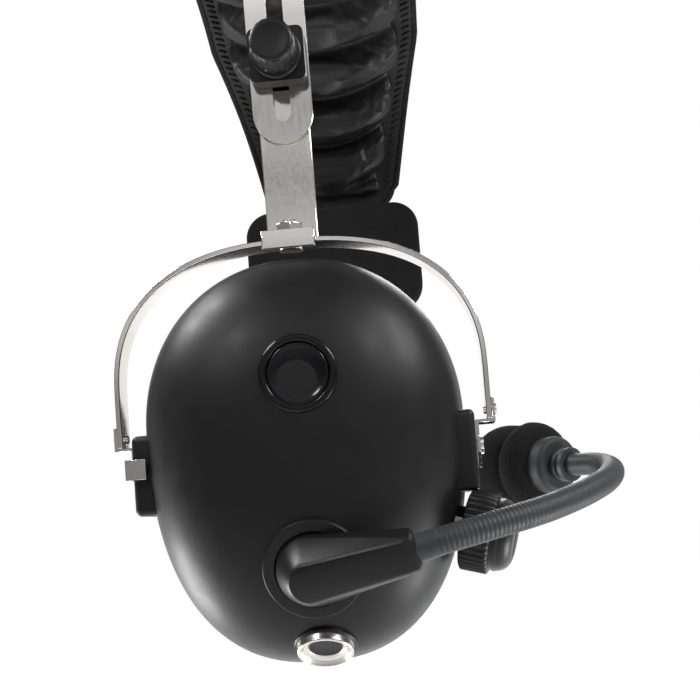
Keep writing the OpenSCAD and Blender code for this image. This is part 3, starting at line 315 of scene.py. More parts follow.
def board_finish(name):
    mask, tracks = (0.01, 0.09, 0.035), (0.03, 0.2, 0.08)
    finish = Finish(name, mask, 0.35)
    lines = finish.add("ShaderNodeTexBrick", Vector=finish.mapped(turn=(math.pi / 2, 0, 0)), Scale=240.0)
    finish.set(Base_Color=finish.mix_colors(lines.outputs["Fac"], mask, tracks))
    return finish.material


MATERIALS = {}


def finishes():
    """All finishes of the headset, made once from the settings."""
    if MATERIALS:
        return MATERIALS
    scene = bpy.context.scene
    plastic, metal, padding = scene.headset_plastic, scene.headset_metal, scene.headset_padding
    MATERIALS.update(
        cup=satin_plastic("cup_satin", plastic.cup_color, plastic.cup_roughness, 1700.0, 0.03, 0.21),
        fitting=satin_plastic("moulded_black", plastic.small_color, 0.38, 1300.0, 0.05, 0.24),
        inner=satin_plastic("inner_black", shade(plastic.small_color, 1.5), 0.5, 900.0, 0.06, 0.4),
        gloss=gloss_plastic("gloss_black", plastic.small_color),
        hose=soft_rubber("boom_rubber", plastic.hose_color),
        mic=satin_plastic("microphone_grey", (0.018, 0.019, 0.020), 0.58, 1500.0, 0.05, 0.25),
        nickel=plated_metal("bright_nickel", metal.nickel_color, metal.nickel_roughness),
        spring=plated_metal("spring_steel", metal.spring_color, 0.11, (1, 0.15, 0.15)),
        # A darker, rougher copy of the nickel: painted shade for the socket's nut and body, which would
        # otherwise mirror the bright floor
        worn=plated_metal("worn_nickel", shade(metal.nickel_color, 0.62), 0.24),
        brass=plated_metal("contact_brass", (0.75, 0.55, 0.24), 0.25),
        leather=leatherette("leatherette", padding.leather_color),
        thread=woven_tape("thread", padding.thread_color),
        tape=woven_tape("edge_tape", (0.007, 0.007, 0.0075)),
        foam=open_foam("pad_foam", (0.008, 0.008, 0.0085), 0.45, 0.15),
        screen=open_foam("windscreen_foam", (0.010, 0.010, 0.010), 0.7, 0.35),
        liner=open_foam("liner_foam", (0.06, 0.06, 0.062), 0.6, 0.3),
        board=board_finish("circuit_board"),
    )
    return MATERIALS


# ---------------------------------------------------------------- shapes
def steps(start, end, count):
    return [start + (end - start) * i / count for i in range(count + 1)]


def signed_power(value, power):
    return math.copysign(abs(value) ** power, value)


def grid_surface(around, along, place, closed=True, caps=True):
    """A grid laid over place(u, v), both from 0 to 1, welded where its edges meet."""
    bm = bmesh.new()
    bmesh.ops.create_grid(bm, x_segments=around, y_segments=along, size=0.5)
    low_x, high_x = min(v.co.x for v in bm.verts), max(v.co.x for v in bm.verts)
    low_y, high_y = min(v.co.y for v in bm.verts), max(v.co.y for v in bm.verts)
    layers = [bm.verts.layers.float.new(name) for name in ("around", "along")]
    for vert in bm.verts:
        u = (vert.co.x - low_x) / (high_x - low_x)
        v = (vert.co.y - low_y) / (high_y - low_y)
        vert[layers[0]], vert[layers[1]] = u, v
        vert.co = place(u, v)
    if closed:
        bmesh.ops.remove_doubles(bm, verts=bm.verts, dist=WELD)
    if caps:
        edges = [edge for edge in bm.edges if edge.is_boundary]
        if edges:
            bmesh.ops.holes_fill(bm, edges=edges, sides=0)
    return bm


def turned(profile, segments=72, at=None):
    """A shape of revolution about local z from (radius, height) points."""
    bm = bmesh.new()
    verts = [bm.verts.new((r, 0, z)) for r, z in profile]
    edges = [bm.edges.new(pair) for pair in zip(verts, verts[1:])]
    bmesh.ops.spin(
        bm,
        geom=verts + edges,
        cent=(0, 0, 0),
        axis=(0, 0, 1),
        dvec=(0, 0, 0),
        angle=2 * math.pi,
        steps=segments,
        use_merge=True,
    )
    bmesh.ops.remove_doubles(bm, verts=bm.verts, dist=WELD)
    if at is not None:
        bmesh.ops.transform(bm, matrix=at, verts=bm.verts)
    return bm


def arc_profile(center, radius, start, end, count):
    return [
        (center[0] + radius * math.cos(math.radians(a)), center[1] + radius * math.sin(math.radians(a)))
        for a in steps(start, end, count)
    ]


def round_edges(bm, edges, radius, segments=3, clamp=False):
    bmesh.ops.bevel(
        bm,
        geom=edges,
        offset=radius,
        offset_type="OFFSET",
        affect="EDGES",
        segments=segments,
        profile=0.5,
        material=-1,
        clamp_overlap=clamp,
    )


def rounded_block(size, center, radius, segments=3, at=None):
    bm = bmesh.new()
    bmesh.ops.create_cube(bm, size=1.0)
    bmesh.ops.scale(bm, vec=size, verts=bm.verts)
    round_edges(bm, bm.edges[:], radius, segments)
    bmesh.ops.translate(bm, vec=center, verts=bm.verts)
    if at is not None:
        bmesh.ops.transform(bm, matrix=at, verts=bm.verts)
    return bm


def knurled(bm, beyond, low, high, grow_at):
    """Widens a knob's rim, outside a radius and between two heights, by a factor of the angle."""
    for vert in bm.verts:
        if math.hypot(vert.co.x, vert.co.y) > beyond and low < vert.co.z < high:
            grow = grow_at(math.atan2(vert.co.y, vert.co.x))
            vert.co.x *= grow
            vert.co.y *= grow
    return bm


def merged(*parts):
    """One mesh from several, in order."""
    whole = bmesh.new()
    for part in parts:
        mesh = bpy.data.meshes.new("part")
        bmesh.ops.recalc_face_normals(part, faces=part.faces)
        part.to_mesh(mesh)
        part.free()
        whole.from_mesh(mesh)
        bpy.data.meshes.remove(mesh)
    return whole


def swollen(bm, sewn, pressure, reach, slack=0.02):
    """Fills a closed cover, in mm, as cloth under pressure, held where it is sewn.

    sewn(around, along) is 1 on a seam and 0 on free cover; no point moves further than reach.
    """
    scene = bpy.context.scene
    layers = [bm.verts.layers.float[name] for name in ("around", "along")]
    weights = [sewn(vert[layers[0]], vert[layers[1]]) for vert in bm.verts]
    bmesh.ops.recalc_face_normals(bm, faces=bm.faces)
    mesh = bpy.data.meshes.new("cover")
    bm.to_mesh(mesh)
    mesh.transform(Matrix.Scale(MM, 4))
    cover = bpy.data.objects.new("cover", mesh)
    scene.collection.objects.link(cover)
    group = cover.vertex_groups.new(name="sewn")
    for index, weight in enumerate(weights):
        if weight > 0:
            group.add([index], weight, "REPLACE")
    cloth = cover.modifiers.new("cloth", "CLOTH")
    cloth.settings.quality = 6
    cloth.settings.use_pressure = True
    cloth.settings.uniform_pressure_force = pressure
    cloth.settings.effector_weights.gravity = 0
    cloth.settings.vertex_group_mass = "sewn"
    cloth.settings.shrink_min = -slack
    cloth.point_cache.frame_start = 1
    cloth.point_cache.frame_end = CLOTH_FRAMES
    for step in range(1, CLOTH_FRAMES + 1):
        scene.frame_set(step)
    view = bpy.context.evaluated_depsgraph_get()
    moved = [vert.co / MM for vert in cover.evaluated_get(view).data.vertices]
    for vert, target in zip(bm.verts, moved):
        shift = target - vert.co
        vert.co += shift * min(1.0, reach / shift.length) if shift.length > 1e-6 else shift
    bpy.data.objects.remove(cover)
    bpy.data.meshes.remove(mesh)
    scene.frame_set(1)
    return bm


def add_piece(name, bm, material, body, replaces=(), sharp=35.0, recalc=True, subdivide=0, bevel=0.0):
    """Makes the object, in metres, parents it to the empty of the body it rides on and hides the CAD nodes it
    stands for.
    """
    if recalc:
        bmesh.ops.recalc_face_normals(bm, faces=bm.faces)
    bmesh.ops.scale(bm, vec=(MM, MM, MM), verts=bm.verts)
    limit = math.radians(sharp)
    for face in bm.faces:
        face.smooth = True
    for edge in bm.edges:
        edge.smooth = not (edge.is_manifold and edge.calc_face_angle(0.0) > limit)
    mesh = bpy.data.meshes.new(name)
    bm.to_mesh(mesh)
    bm.free()
    piece = bpy.data.objects.new(name, mesh)
    bpy.context.scene.collection.objects.link(piece)
    mesh.materials.append(finishes()[material])
    if bevel:
        modifier = piece.modifiers.new("soft_edges", "BEVEL")
        modifier.width = bevel * MM
        modifier.segments = 2
        modifier.limit_method = "ANGLE"
        modifier.angle_limit = math.radians(30)
    if subdivide:
        modifier = piece.modifiers.new("smooth_skin", "SUBSURF")
        modifier.levels = subdivide
        modifier.render_levels = subdivide
    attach(piece, body)
    if replaces:
        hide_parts(*replaces)
    return piece


def refined_node(node, material, body, bevel):
    """A copy of a CAD node with its triangles merged, smooth curves and softened edges."""
    bm = bmesh.new()
    bm.from_mesh(NODES[node].data)
    bmesh.ops.remove_doubles(bm, verts=bm.verts, dist=2e-6)
    bmesh.ops.scale(bm, vec=(1 / MM, 1 / MM, 1 / MM), verts=bm.verts)
    return add_piece(
        node + "_fine", bm, material, body, (node,), sharp=28.0, recalc=False, bevel=bevel
    )


def paint_node(node, material):
    """Gives a CAD node that keeps its shape a finish of its own."""
    target = NODES[node]
    if not target.material_slots:
        target.data.materials.append(finishes()[material])
    for slot in target.material_slots:
        slot.material = finishes()[material]


def turn(degrees, axis):
    return Matrix.Rotation(math.radians(degrees), 4, axis)


def move(x, y, z):
    return Matrix.Translation((x, y, z))


# Frames in which the part's source places its pieces, local z outwards
LEG_FRAME = move(0, -LEG_Y, 110) @ turn(LEAN_TURN, "X") @ turn(90, "X")
FAR_LEG_FRAME = Matrix.Scale(-1, 4, (0, 1, 0)) @ LEG_FRAME
BOOM_FRAME = move(*BOOM_FOOT) @ turn(105, "X")
SOCKET_FRAME = move(FACE_X, -97.8885, -48.4) @ turn(143, "X")
SWITCH_FRAME = move(FACE_X, -113.735, 18.5) @ turn(90, "X")
VOLUME_FRAME = move(38.2854, -90, -21) @ turn(-12, "Z") @ turn(105, "Y")


# ---------------------------------------------------------------- ear cup
CUP_HALF_W = 42.5
CUP_TOP_H = 45.0
CUP_BOTTOM_H = 63.0
DOME_POWER = 2.6
CUP_WALL = 2.6
# Share of the dome's grid that covers the rim's flat lip
LIP_SHARE = 0.06
BLOCK_X = 44.6


def egg_point(turn_share, inset):
    """A point of the cup's outline, inset from the outside, as (x, z) about the widest line."""
    angle = turn_share * 2 * math.pi
    upper = turn_share < 0.5
    power = 2 / (2.1 if upper else 2.4)
    height = CUP_TOP_H if upper else CUP_BOTTOM_H
    return (
        (CUP_HALF_W - inset) * signed_power(math.cos(angle), power),
        (height - inset) * signed_power(math.sin(angle), power),
    )


class HEADSET_OT_ear_cup(bpy.types.Operator):
    """Builds the satin ear cup with its pivot blocks and seats"""

    bl_idname = "headset.ear_cup"
    bl_label = "Ear Cup"

    def execute(self, context):
        def dome(u, v):
            if v < LIP_SHARE:
                x, z = egg_point(u, CUP_WALL * (1 - v / LIP_SHARE))
                return Vector((x, -RIM_Y, CUP_WIDE_Z + z))
            rise = math.radians(90 * (v - LIP_SHARE) / (1 - LIP_SHARE))
            share = math.cos(rise) ** (2 / DOME_POWER) if v < 1 else 0.0
            depth = CUP_DEPTH * math.sin(rise) ** (2 / DOME_POWER)
            x, z = egg_point(u, 0)
            return Vector((x * share, -RIM_Y - depth, CUP_WIDE_Z + z * share))

        shell = grid_surface(120, 48, dome, caps=False)
        cup = add_piece("cup_dome", shell, "cup", "ear_cup", ("cup_shell",), 60.0)
        # The inside of the wall, so that the cup is open behind the baffle
        wall = cup.modifiers.new("wall", "SOLIDIFY")
        wall.thickness = CUP_WALL * MM * 0.8
        wall.offset = -1.0
        blocks = [
            rounded_block((19, 14, 21), (side * (BLOCK_X - 9.5), -87.95, -1.5), 1.6, 4) for side in (-1, 1)
        ]
        seat = turned([(0, -6), (12.3, -6), (12.3, -0.5), (12.0, 0), (0, 0)], 72, BOOM_FRAME)
        socket_seat = turned([(0, -4), (8.05, -4), (8.05, -0.4), (7.7, 0), (0, 0)], 64, SOCKET_FRAME)
        add_piece("cup_mounts", merged(*blocks, seat, socket_seat), "cup", "ear_cup")
        for material, nodes in (
            ("inner", "baffle_plate driver_retainer earphone_driver ptt_switch volume_pot ptt_nut"),
            ("board", "circuit_board"),
            ("nickel", "housing_screws board_screws volume_pot_nut boom_washer boom_lock_nut"),
        ):
            for node in nodes.split():
                paint_node(node, material)
        return {"FINISHED"}


class HEADSET_OT_talk_switch(bpy.types.Operator):
    """Builds the push-to-talk bezel and its dished button"""

    bl_idname = "headset.talk_switch"
    bl_label = "Push-to-Talk Switch"

    def execute(self, context):
        low, top = -0.6, 0.8
        bezel = [(7.63, low - 7.5), (8.3, low - 7.5), (8.3, low), (9.5, low)]
        bezel += [(9.5, top - 0.7)] + arc_profile((8.8, top - 0.7), 0.7, 0, 90, 6)
        bezel += arc_profile((8.1, top - 0.4), 0.4, 90, 180, 4) + [(7.63, top - 1.2), (7.63, low - 7.5)]
        bezel = turned(bezel, 96, SWITCH_FRAME)
        add_piece("switch_bezel", bezel, "gloss", "ear_cup", ("ptt_bezel",), 40.0)
        cap_top = 0.5
        dish = [(r, cap_top - 1.0 + (27 - math.sqrt(27 * 27 - r * r))) for r in steps(0, 6.4, 8)]
        button = [(0, cap_top - 5.8), (1.5, cap_top - 5.8), (1.5, cap_top - 4.6), (7.6, cap_top - 4.6)]
        button += [(7.6, cap_top - 0.7)] + arc_profile((6.95, cap_top - 0.68), 0.65, 0, 90, 6)
        button += [(6.7, cap_top - 0.08)] + list(reversed(dish))
        button = turned(button, 96, SWITCH_FRAME)
        add_piece("switch_cap", button, "gloss", "talk_button", ("ptt_button",), 50.0)
        low, high = (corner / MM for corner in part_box("ptt_spring"))
        wire, turns, travel = 0.3, 3.5, 1.5
        coil_r, rise = (high.x - low.x) / 2 - wire, high.y - low.y - 2 * wire - 0.1

        def coil(u, v):
            around = 2 * math.pi * turns * v
            out = Vector((math.cos(around), 0, math.sin(around)))
            angle = 2 * math.pi * u
            center = Vector(((low.x + high.x) / 2, low.y + wire + 0.05 + rise * v, (low.z + high.z) / 2))
            return center + out * (coil_r + wire * math.cos(angle)) + Vector((0, wire * math.sin(angle), 0))

        spring = grid_surface(8, 140, coil)
        spring = add_piece("return_spring", spring, "nickel", "ear_cup", ("ptt_spring",), 60.0)
        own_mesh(spring)
        return {"FINISHED"}


class HEADSET_OT_socket(bpy.types.Operator):
    """Builds the plug socket with its rounded nut"""

    bl_idname = "headset.socket"
    bl_label = "Plug Socket"

    def execute(self, context):
        nut = [(5.52, 0.0), (7.35, 0.0), (7.1, 0.9)] + arc_profile((6.65, 1.35), 0.42, 0, 90, 5)
        nut += [(6.35, 1.72), (6.2, 1.5), (5.52, 0.85), (5.52, 0.0)]
        body = [(3.75, -17.95), (6.15, -17.95), (6.15, -4.05), (5.5, -4.05), (5.5, 0.8), (5.3, 0.8)]
        body += [(4.3, 0.1), (3.95, -0.2), (3.75, -0.5), (3.75, -17.95)]
        sleeve = [(3.6, -17.9), (3.73, -17.9), (3.73, -0.6), (3.6, -0.7), (3.6, -17.9)]
        for name, profile, material, replaced, sharp in (
            # The nut and body take the darker nickel, which is painted shade
            ("socket_nut", nut, "worn", ("jack_bezel_nut",), 45.0),
            ("socket_body", body, "worn", ("jack_body",), 40.0),
            ("socket_sleeve", sleeve, "brass", (), 40.0),
        ):
            add_piece(name, turned(profile, 72, SOCKET_FRAME), material, "ear_cup", replaced, sharp)
        paint_node("jack_contacts", "brass")
        return {"FINISHED"}


class HEADSET_OT_volume(bpy.types.Operator):
    """Builds the knurled volume knob"""

    bl_idname = "headset.volume"
    bl_label = "Volume Knob"

    def execute(self, context):
        lift, length, radius, teeth = 2.2, 13.0, 10.6, 40
        profile = [(0.0, 8.6), (1.53, 8.6), (1.53, 1.6), (7.0, 1.6), (7.0, 0.0), (9.9, 0.0)]
        profile += [(10.2, 0.4), (10.2, 7.0), (9.9, 7.4), (9.4, 7.6), (9.35, 8.2), (9.5, 8.6), (9.4, 9.2)]
        profile += arc_profile((5.2, length - 4.2), 4.1, 8, 80, 9)
        profile += [(3.0, length - 0.15), (0.0, length - 0.2)]

        def tooth(angle):
            wave = 0.5 + 0.5 * math.cos(angle * teeth)
            return 1 + (radius - 10.2) / 10.2 * (wave * 1.6 - 0.6)

        body = knurled(turned(profile, 160), 10.0, 0.3, 7.1, tooth)
        at = VOLUME_FRAME @ move(0, 0, lift)
        bmesh.ops.transform(body, matrix=at, verts=body.verts)
        ridge = rounded_block((9.5, 1.3, 1.2), (0, 0, length - 0.55), 0.4, 2, at)
        knob = merged(body, ridge)
        add_piece(
            "volume_knob_fine", knob, "fitting", "volume_control", ("volume_knob",), 40.0
        )
        return {"FINISHED"}


# ---------------------------------------------------------------- boom and microphone
ARM_FOOT = Vector(BOOM_FOOT)
BOOM_TILT = math.radians(15)
ARM_TURN = math.radians(14)
BOOM_OUT = Vector((0, -math.cos(BOOM_TILT), -math.sin(BOOM_TILT)))
BOOM_RISE = Vector((0, -math.sin(BOOM_TILT), math.cos(BOOM_TILT)))
ARM_WAY = math.cos(ARM_TURN) * Vector((1, 0, 0)) + math.sin(ARM_TURN) * BOOM_RISE
ARM_END = ARM_FOOT + 11 * BOOM_OUT + 26 * ARM_WAY
MIC_FOOT = ARM_END + Vector((47.4, 64, 18.9))
MIC_WAY = Vector((-0.6, 0.796, 0.08)).normalized()
HOSE_R = 3.3


def hose_route():
    """Evenly fine points along the flexible boom."""
    stops = [ARM_END - 2.9 * ARM_WAY, ARM_END + 2 * HOSE_R * ARM_WAY]
    for stop in (
        (18, 2.6, 4),
        (30, 8.8, 6.5),
        (40.5, 18, 9.5),
        (48.4, 28.8, 12.5),
        (52.6, 40, 15),
        (53.6, 50.4, 17),
        (51.6, 58.4, 18.4),
    ):
        stops.append(ARM_END + Vector(stop))
    stops += [MIC_FOOT, MIC_FOOT + 2 * HOSE_R * MIC_WAY]
    points = []
    for i in range(len(stops) - 1):
        a, b = stops[max(i - 1, 0)], stops[i]
        c, d = stops[i + 1], stops[min(i + 2, len(stops) - 1)]
        for k in range(16):
            t = k / 16
            points.append(
                0.5
                * (
                    2 * b
                    + (c - a) * t
                    + (2 * a - 5 * b + 4 * c - d) * t * t
                    + (3 * b - a - 3 * c + d) * t * t * t
                )
            )
    points.append(stops[-1])
    return points


def along(points):
    """Returns place(length) and the total length of a route."""
    sums = [0.0]
    for p, q in zip(points, points[1:]):
        sums.append(sums[-1] + (q - p).length)

    def place(length):
        length = min(max(length, 0.0), sums[-1])
        low, high = 0, len(sums) - 1
        while high - low > 1:
            middle = (low + high) // 2
            if sums[middle] <= length:
                low = middle
            else:
                high = middle
        share = (length - sums[low]) / (sums[high] - sums[low])
        return points[low].lerp(points[high], share)

    return place, sums[-1]


def mic_matrix(offset=0.0):
    """The frame of the microphone, local z along it, moved along by an offset."""
    end = MIC_FOOT + (2 * HOSE_R + 0.05 + offset) * MIC_WAY
    level = math.hypot(MIC_WAY.x, MIC_WAY.y)
    spin = Matrix.Rotation(math.atan2(MIC_WAY.y, MIC_WAY.x), 4, "Z")
    lean = Matrix.Rotation(math.atan2(level, MIC_WAY.z), 4, "Y")
    return Matrix.Translation(end) @ spin @ lean


class HEADSET_OT_boom(bpy.types.Operator):
    """Builds the boom's turret, arm and ribbed flexible stem"""

    bl_idname = "headset.boom"
    bl_label = "Boom"

    def execute(self, context):
        ring = [(9.15, 0.02), (12.3, 0.02), (12.3, 0.6)] + arc_profile((11.9, 0.6), 0.4, 0, 90, 5)
        ring += [(9.5, 1.0), (9.15, 0.7), (9.15, 0.02)]
        ring = turned(ring, 96, BOOM_FRAME)
        add_piece("turret_ring", ring, "fitting", "ear_cup", ("boom_base_ring",))
        arm = bmesh.new()
        for radius, height in ((8.8, 1.35), (8.8, 2.5), (8.3, 3.7), (5.3, 10.8), (4.6, 11.6)):
            level = move(0, 0, height)
            bmesh.ops.create_circle(arm, cap_ends=False, segments=48, radius=radius, matrix=level)
        for x, half_w, low, high in ((25.9, 3.6, 7.2, 14.0), (25.2, 4.4, 6.8, 14.9), (23.4, 4.4, 6.7, 15.2)):
            for y in (-half_w, -half_w + 0.9, half_w - 0.9, half_w):
                edge = 0.0 if abs(y) < half_w - 0.5 else 1.0
                arm.verts.new((x, y, low + edge))
                arm.verts.new((x, y, high - edge))
        hull = bmesh.ops.convex_hull(arm, input=arm.verts[:], use_existing_faces=False)
        loose = [g for g in hull["geom_interior"] + hull["geom_unused"] if isinstance(g, bmesh.types.BMVert)]
        bmesh.ops.delete(arm, geom=list(set(loose)), context="VERTS")
        bmesh.ops.delete(arm, geom=[v for v in arm.verts if not v.link_faces], context="VERTS")
        bmesh.ops.dissolve_limit(arm, angle_limit=math.radians(2), verts=arm.verts, edges=arm.edges)
        sharp = [e for e in arm.edges if e.is_manifold and e.calc_face_angle(0) > math.radians(22)]
        round_edges(arm, sharp, 0.9, 3, True)
        shank = [(1.7, -10.6), (4.0, -10.6), (4.0, 0.3), (8.8, 0.3), (8.8, 1.6), (1.7, 1.6), (1.7, -10.6)]
        whole = merged(arm, turned(shank, 48))
        bmesh.ops.transform(whole, matrix=BOOM_FRAME @ turn(14, "Z"), verts=whole.verts)
        add_piece(
            "boom_arm_fine", whole, "fitting", "boom", ("boom_arm",), 30.0, recalc=False
        )

        place, total = along(hose_route())
        pitch = context.scene.headset_plastic.rib_pitch / MM
        ribs = int((total - 4 * HOSE_R) / pitch)
        first = (total - ribs * pitch) / 2
        sides, per_rib = 24, 4
        count = ribs * per_rib

        def hose(u, v):
            k = v * (count + 2)
            if k < 1:
                length, radius = first * k, HOSE_R
            elif k > count + 1:
                length, radius = total - first * (count + 2 - k), HOSE_R
            else:
                length = first + (k - 1) / per_rib * pitch
                radius = HOSE_R - 0.07 + 0.07 * math.cos(2 * math.pi * (k - 1) / per_rib)
            center = place(length)
            way = (place(length + 0.8) - place(length - 0.8)).normalized()
            side = Vector((0, 0, 1)).cross(way).normalized()
            up = way.cross(side)
            angle = 2 * math.pi * u
            return center + radius * (math.cos(angle) * side + math.sin(angle) * up)

        stem = grid_surface(sides, count + 2, hose)
        add_piece("flexible_stem", stem, "hose", "boom", ("boom_gooseneck",), 70.0)
        return {"FINISHED"}


class HEADSET_OT_microphone(bpy.types.Operator):
    """Builds the microphone with its collar and foam windscreen"""

    bl_idname = "headset.microphone"
    bl_label = "Microphone"

    def execute(self, context):
        collar = [(3.4, -5.0), (5.0, -5.0), (5.0, -3.6), (4.4, -3.2), (4.4, -2.7), (5.0, -2.4)]
        collar += [(5.0, -1.2), (4.6, -0.9), (4.4, 0.0), (3.4, 0.0), (3.4, -5.0)]
        collar = turned(collar, 64, mic_matrix())
        add_piece("collar_fine", collar, "hose", "boom", ("mic_collar",), 35.0)
        case = [(1.2, 0.0), (6.6, 0.0)] + arc_profile((6.9, 1.6), 1.6, -90, 0, 6)
        case += [(8.5, 12.4), (8.2, 12.8), (7.5, 13.0), (4.95, 13.0), (4.95, 5.7), (1.2, 5.7), (1.2, 0.0)]
        case = turned(case, 72, mic_matrix())
        add_piece("microphone_case", case, "mic", "boom", ("mic_housing",), 35.0)
        paint_node("mic_capsule", "nickel")
        radius, length, lobe, inner = 13.4, 25.0, 5.4, 8.85
        screen = [(inner, 0.9)]
        screen += [(radius - lobe + lobe * math.sin(math.radians(a)), lobe + lobe * math.cos(math.radians(a)))
                   for a in steps(175, 38, 12)]
        screen += [(radius - 0.75, lobe * 2 + 0.6)]
        screen += [((radius - 0.5) * math.cos(math.radians(a)) ** 0.6 if a < 90 else 0.0,
                    length - 9 + 9 * math.sin(math.radians(a)) ** 0.8) for a in steps(0, 90, 14)]
        screen += [(0.0, 9.0), (inner, 9.0), (inner, 0.9)]
        foam = turned(screen, 96)
        for vert in foam.verts:
            wobble = noise.noise(vert.co * 0.35) * 0.22 + noise.noise(vert.co * 1.3) * 0.08
            if math.hypot(vert.co.x, vert.co.y) > inner + 0.5:
                vert.co += vert.co.normalized() * (wobble - 0.25)
        bmesh.ops.transform(foam, matrix=mic_matrix(5.0), verts=foam.verts)
        piece = add_piece("foam_windscreen", foam, "screen", "boom", ("mic_windscreen",), 60.0)
        return {"FINISHED"}


# ---------------------------------------------------------------- stirrup and clips
class HEADSET_OT_stirrup(bpy.types.Operator):
    """Builds the bent stirrup strip, its pivot clips and pins"""

    bl_idname = "headset.stirrup"
    bl_label = "Stirrup"

    def execute(self, context):
        for node, bevel in (
            ("stirrup", 0.25),
            ("front_pivot_clip", 0.12),
            ("rear_pivot_clip", 0.12),
            ("clip_rivets", 0.12),
            ("pivot_pins", 0.2),
        ):
            refined_node(node, "nickel", "stirrup_body", bevel)
        base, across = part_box("stirrup_nut")[0].z / MM, 7.0
        corner = across / math.sqrt(3)
        shape = [(2.03, 0.0), (corner - 0.35, 0.0), (corner, 0.3), (corner, 2.75)]
        shape += [(corner - 0.5, 3.18), (2.5, 3.18), (2.03, 2.8), (2.03, 0.0)]
        nut = turned(shape, 6, move(0, -87, base) @ turn(-22, "Z"))
        add_piece(
            "stirrup_nut_fine", nut, "nickel", "cup_slide", ("stirrup_nut",), 25.0, bevel=0.12
        )
        refined_node("stirrup_bolt", "nickel", "cup_slide", 0.2)
        return {"FINISHED"}


# ---------------------------------------------------------------- headband
class HEADSET_OT_headband(bpy.types.Operator):
    """Builds the spring headband, its sliding straps and clamp knobs"""

    bl_idname = "headset.headband"
    bl_label = "Headband"

    def execute(self, context):
        refined_node("headband_spring", "spring", "headband", 0.25)
        refined_node("cup_strap", "nickel", "cup_slide", 0.25)
        refined_node("temple_strap", "nickel", "temple_slider", 0.25)
        refined_node("cup_clamp_block", "fitting", "cup_slide", 0.5)
        refined_node("temple_clamp_block", "fitting", "temple_slider", 0.5)
        refined_node("cup_clamp_screw", "nickel", "cup_slide", 0.2)
        refined_node("temple_clamp_screw", "nickel", "temple_slider", 0.2)
        # Half the strap, the play, the clamp block and the gap under the knob
        base = 0.6 + 0.12 + 4.4 + 0.35
        for name, body, matrix in (
            ("cup_clamp_knob", "cup_clamp", LEG_FRAME),
            ("temple_clamp_knob", "temple_clamp", FAR_LEG_FRAME),
        ):
            profile = [(2.03, 0.0), (6.9, 0.0), (6.9, 0.9), (6.6, 1.2), (5.9, 1.35), (5.7, 1.8)]
            profile += [(5.75, 3.0), (5.75, 7.6)] + arc_profile((4.7, 7.95), 1.05, 0, 80, 6)
            profile += [(4.2, 8.98), (3.6, 8.8), (0.0, 8.75), (0.0, 8.0), (2.03, 8.0), (2.03, 0.0)]
            knob = turned(profile, 144)
            knurled(knob, 5.0, 1.5, 8.4, lambda angle: 1 + 0.045 * (abs(math.sin(angle * 9)) - 0.45))
            bmesh.ops.transform(knob, matrix=matrix @ move(0, 0, base), verts=knob.verts)
            add_piece(name + "_fine", knob, "fitting", body, (name,), 30.0)
        return {"FINISHED"}


# ---------------------------------------------------------------- padding
SHOULDER_R = 58.0
CROWN_FROM = math.radians(48)
LEG_TOP_Y = LEG_Y + 14 * math.tan(LEAN)
SHOULDER_Y = LEG_TOP_Y - SHOULDER_R * math.cos(LEAN)
SHOULDER_Z = LEG_TOP_Z + SHOULDER_R * math.sin(LEAN)
CROWN_R = SHOULDER_R + SHOULDER_Y / math.cos(CROWN_FROM)
CROWN_Z = SHOULDER_Z + (SHOULDER_R - CROWN_R) * math.sin(CROWN_FROM)
CROWN_LEN = CROWN_R * (math.pi / 2 - CROWN_FROM)
ARC_LEN = CROWN_LEN + SHOULDER_R * (CROWN_FROM + LEAN)
CUSHION_CUP = 117.0
CUSHION_TEMPLE = 125.0


def band_point(length, out, x=0.0):
    """A point beside the band at a length from the crown, moved outward by a distance."""
    s = abs(length)
    if s < CROWN_LEN:
        angle = math.pi / 2 - s / CROWN_R
        y, z = (CROWN_R + out) * math.cos(angle), CROWN_Z + (CROWN_R + out) * math.sin(angle)
    elif s < ARC_LEN:
        angle = CROWN_FROM - (s - CROWN_LEN) / SHOULDER_R
        y = SHOULDER_Y + (SHOULDER_R + out) * math.cos(angle)
        z = SHOULDER_Z + (SHOULDER_R + out) * math.sin(angle)
    else:
        y = LEG_TOP_Y + out * math.cos(LEAN) - (s - ARC_LEN) * math.sin(LEAN)
        z = LEG_TOP_Z - out * math.sin(LEAN) - (s - ARC_LEN) * math.cos(LEAN)
    return Vector((x, math.copysign(y, length) if length else 0.0, z))


def cushion_half(length):
    """Half width of the cushion at a length from the crown."""
    end = CUSHION_CUP if length < 0 else CUSHION_TEMPLE
    s = abs(length)
    if s < 50:
        return 41.5
    return 41.5 - 14.5 * min(1.0, (s - 50) / (end - 50))


# The cushion's levels below the band's middle, and its border, height, seams and corners
BACK_TOP = -0.9
BACK_LOW = -2.3
PILLOW_BACK = -2.6
BORDER = 6.0
PILLOW_H = 10.6
SEAM_DEPTH = 7.2
CORNER_R = 9.0


def cushion_edge():
    """The cushion's outline as (x, length) points, once around."""
    points = []
    for sign, end, other in ((1, CUSHION_TEMPLE, CUSHION_CUP), (-1, CUSHION_CUP, CUSHION_TEMPLE)):
        tip = cushion_half(sign * end) - CORNER_R
        for length in steps(-sign * other + sign * CORNER_R, sign * (end - CORNER_R), 60):
            points.append(Vector((sign * cushion_half(length), length, 0)))
        for side, angles in ((sign, steps(6, 84, 9)), (-sign, steps(84, 6, 9))):
            for angle in angles:
                x = tip + CORNER_R * math.cos(math.radians(angle))
                y = end - CORNER_R + CORNER_R * math.sin(math.radians(angle))
                points.append(Vector((side * x, sign * y, 0)))
    points.append(points[0].copy())
    return points


def rounded_half(length):
    """Half width of the backing, drawn in round the corners."""
    end = CUSHION_CUP if length < 0 else CUSHION_TEMPLE
    into = abs(length) - (end - CORNER_R)
    half = cushion_half(length)
    if into > 0:
        half -= CORNER_R - math.sqrt(max(0.0, CORNER_R**2 - into**2))
    return half + 0.5


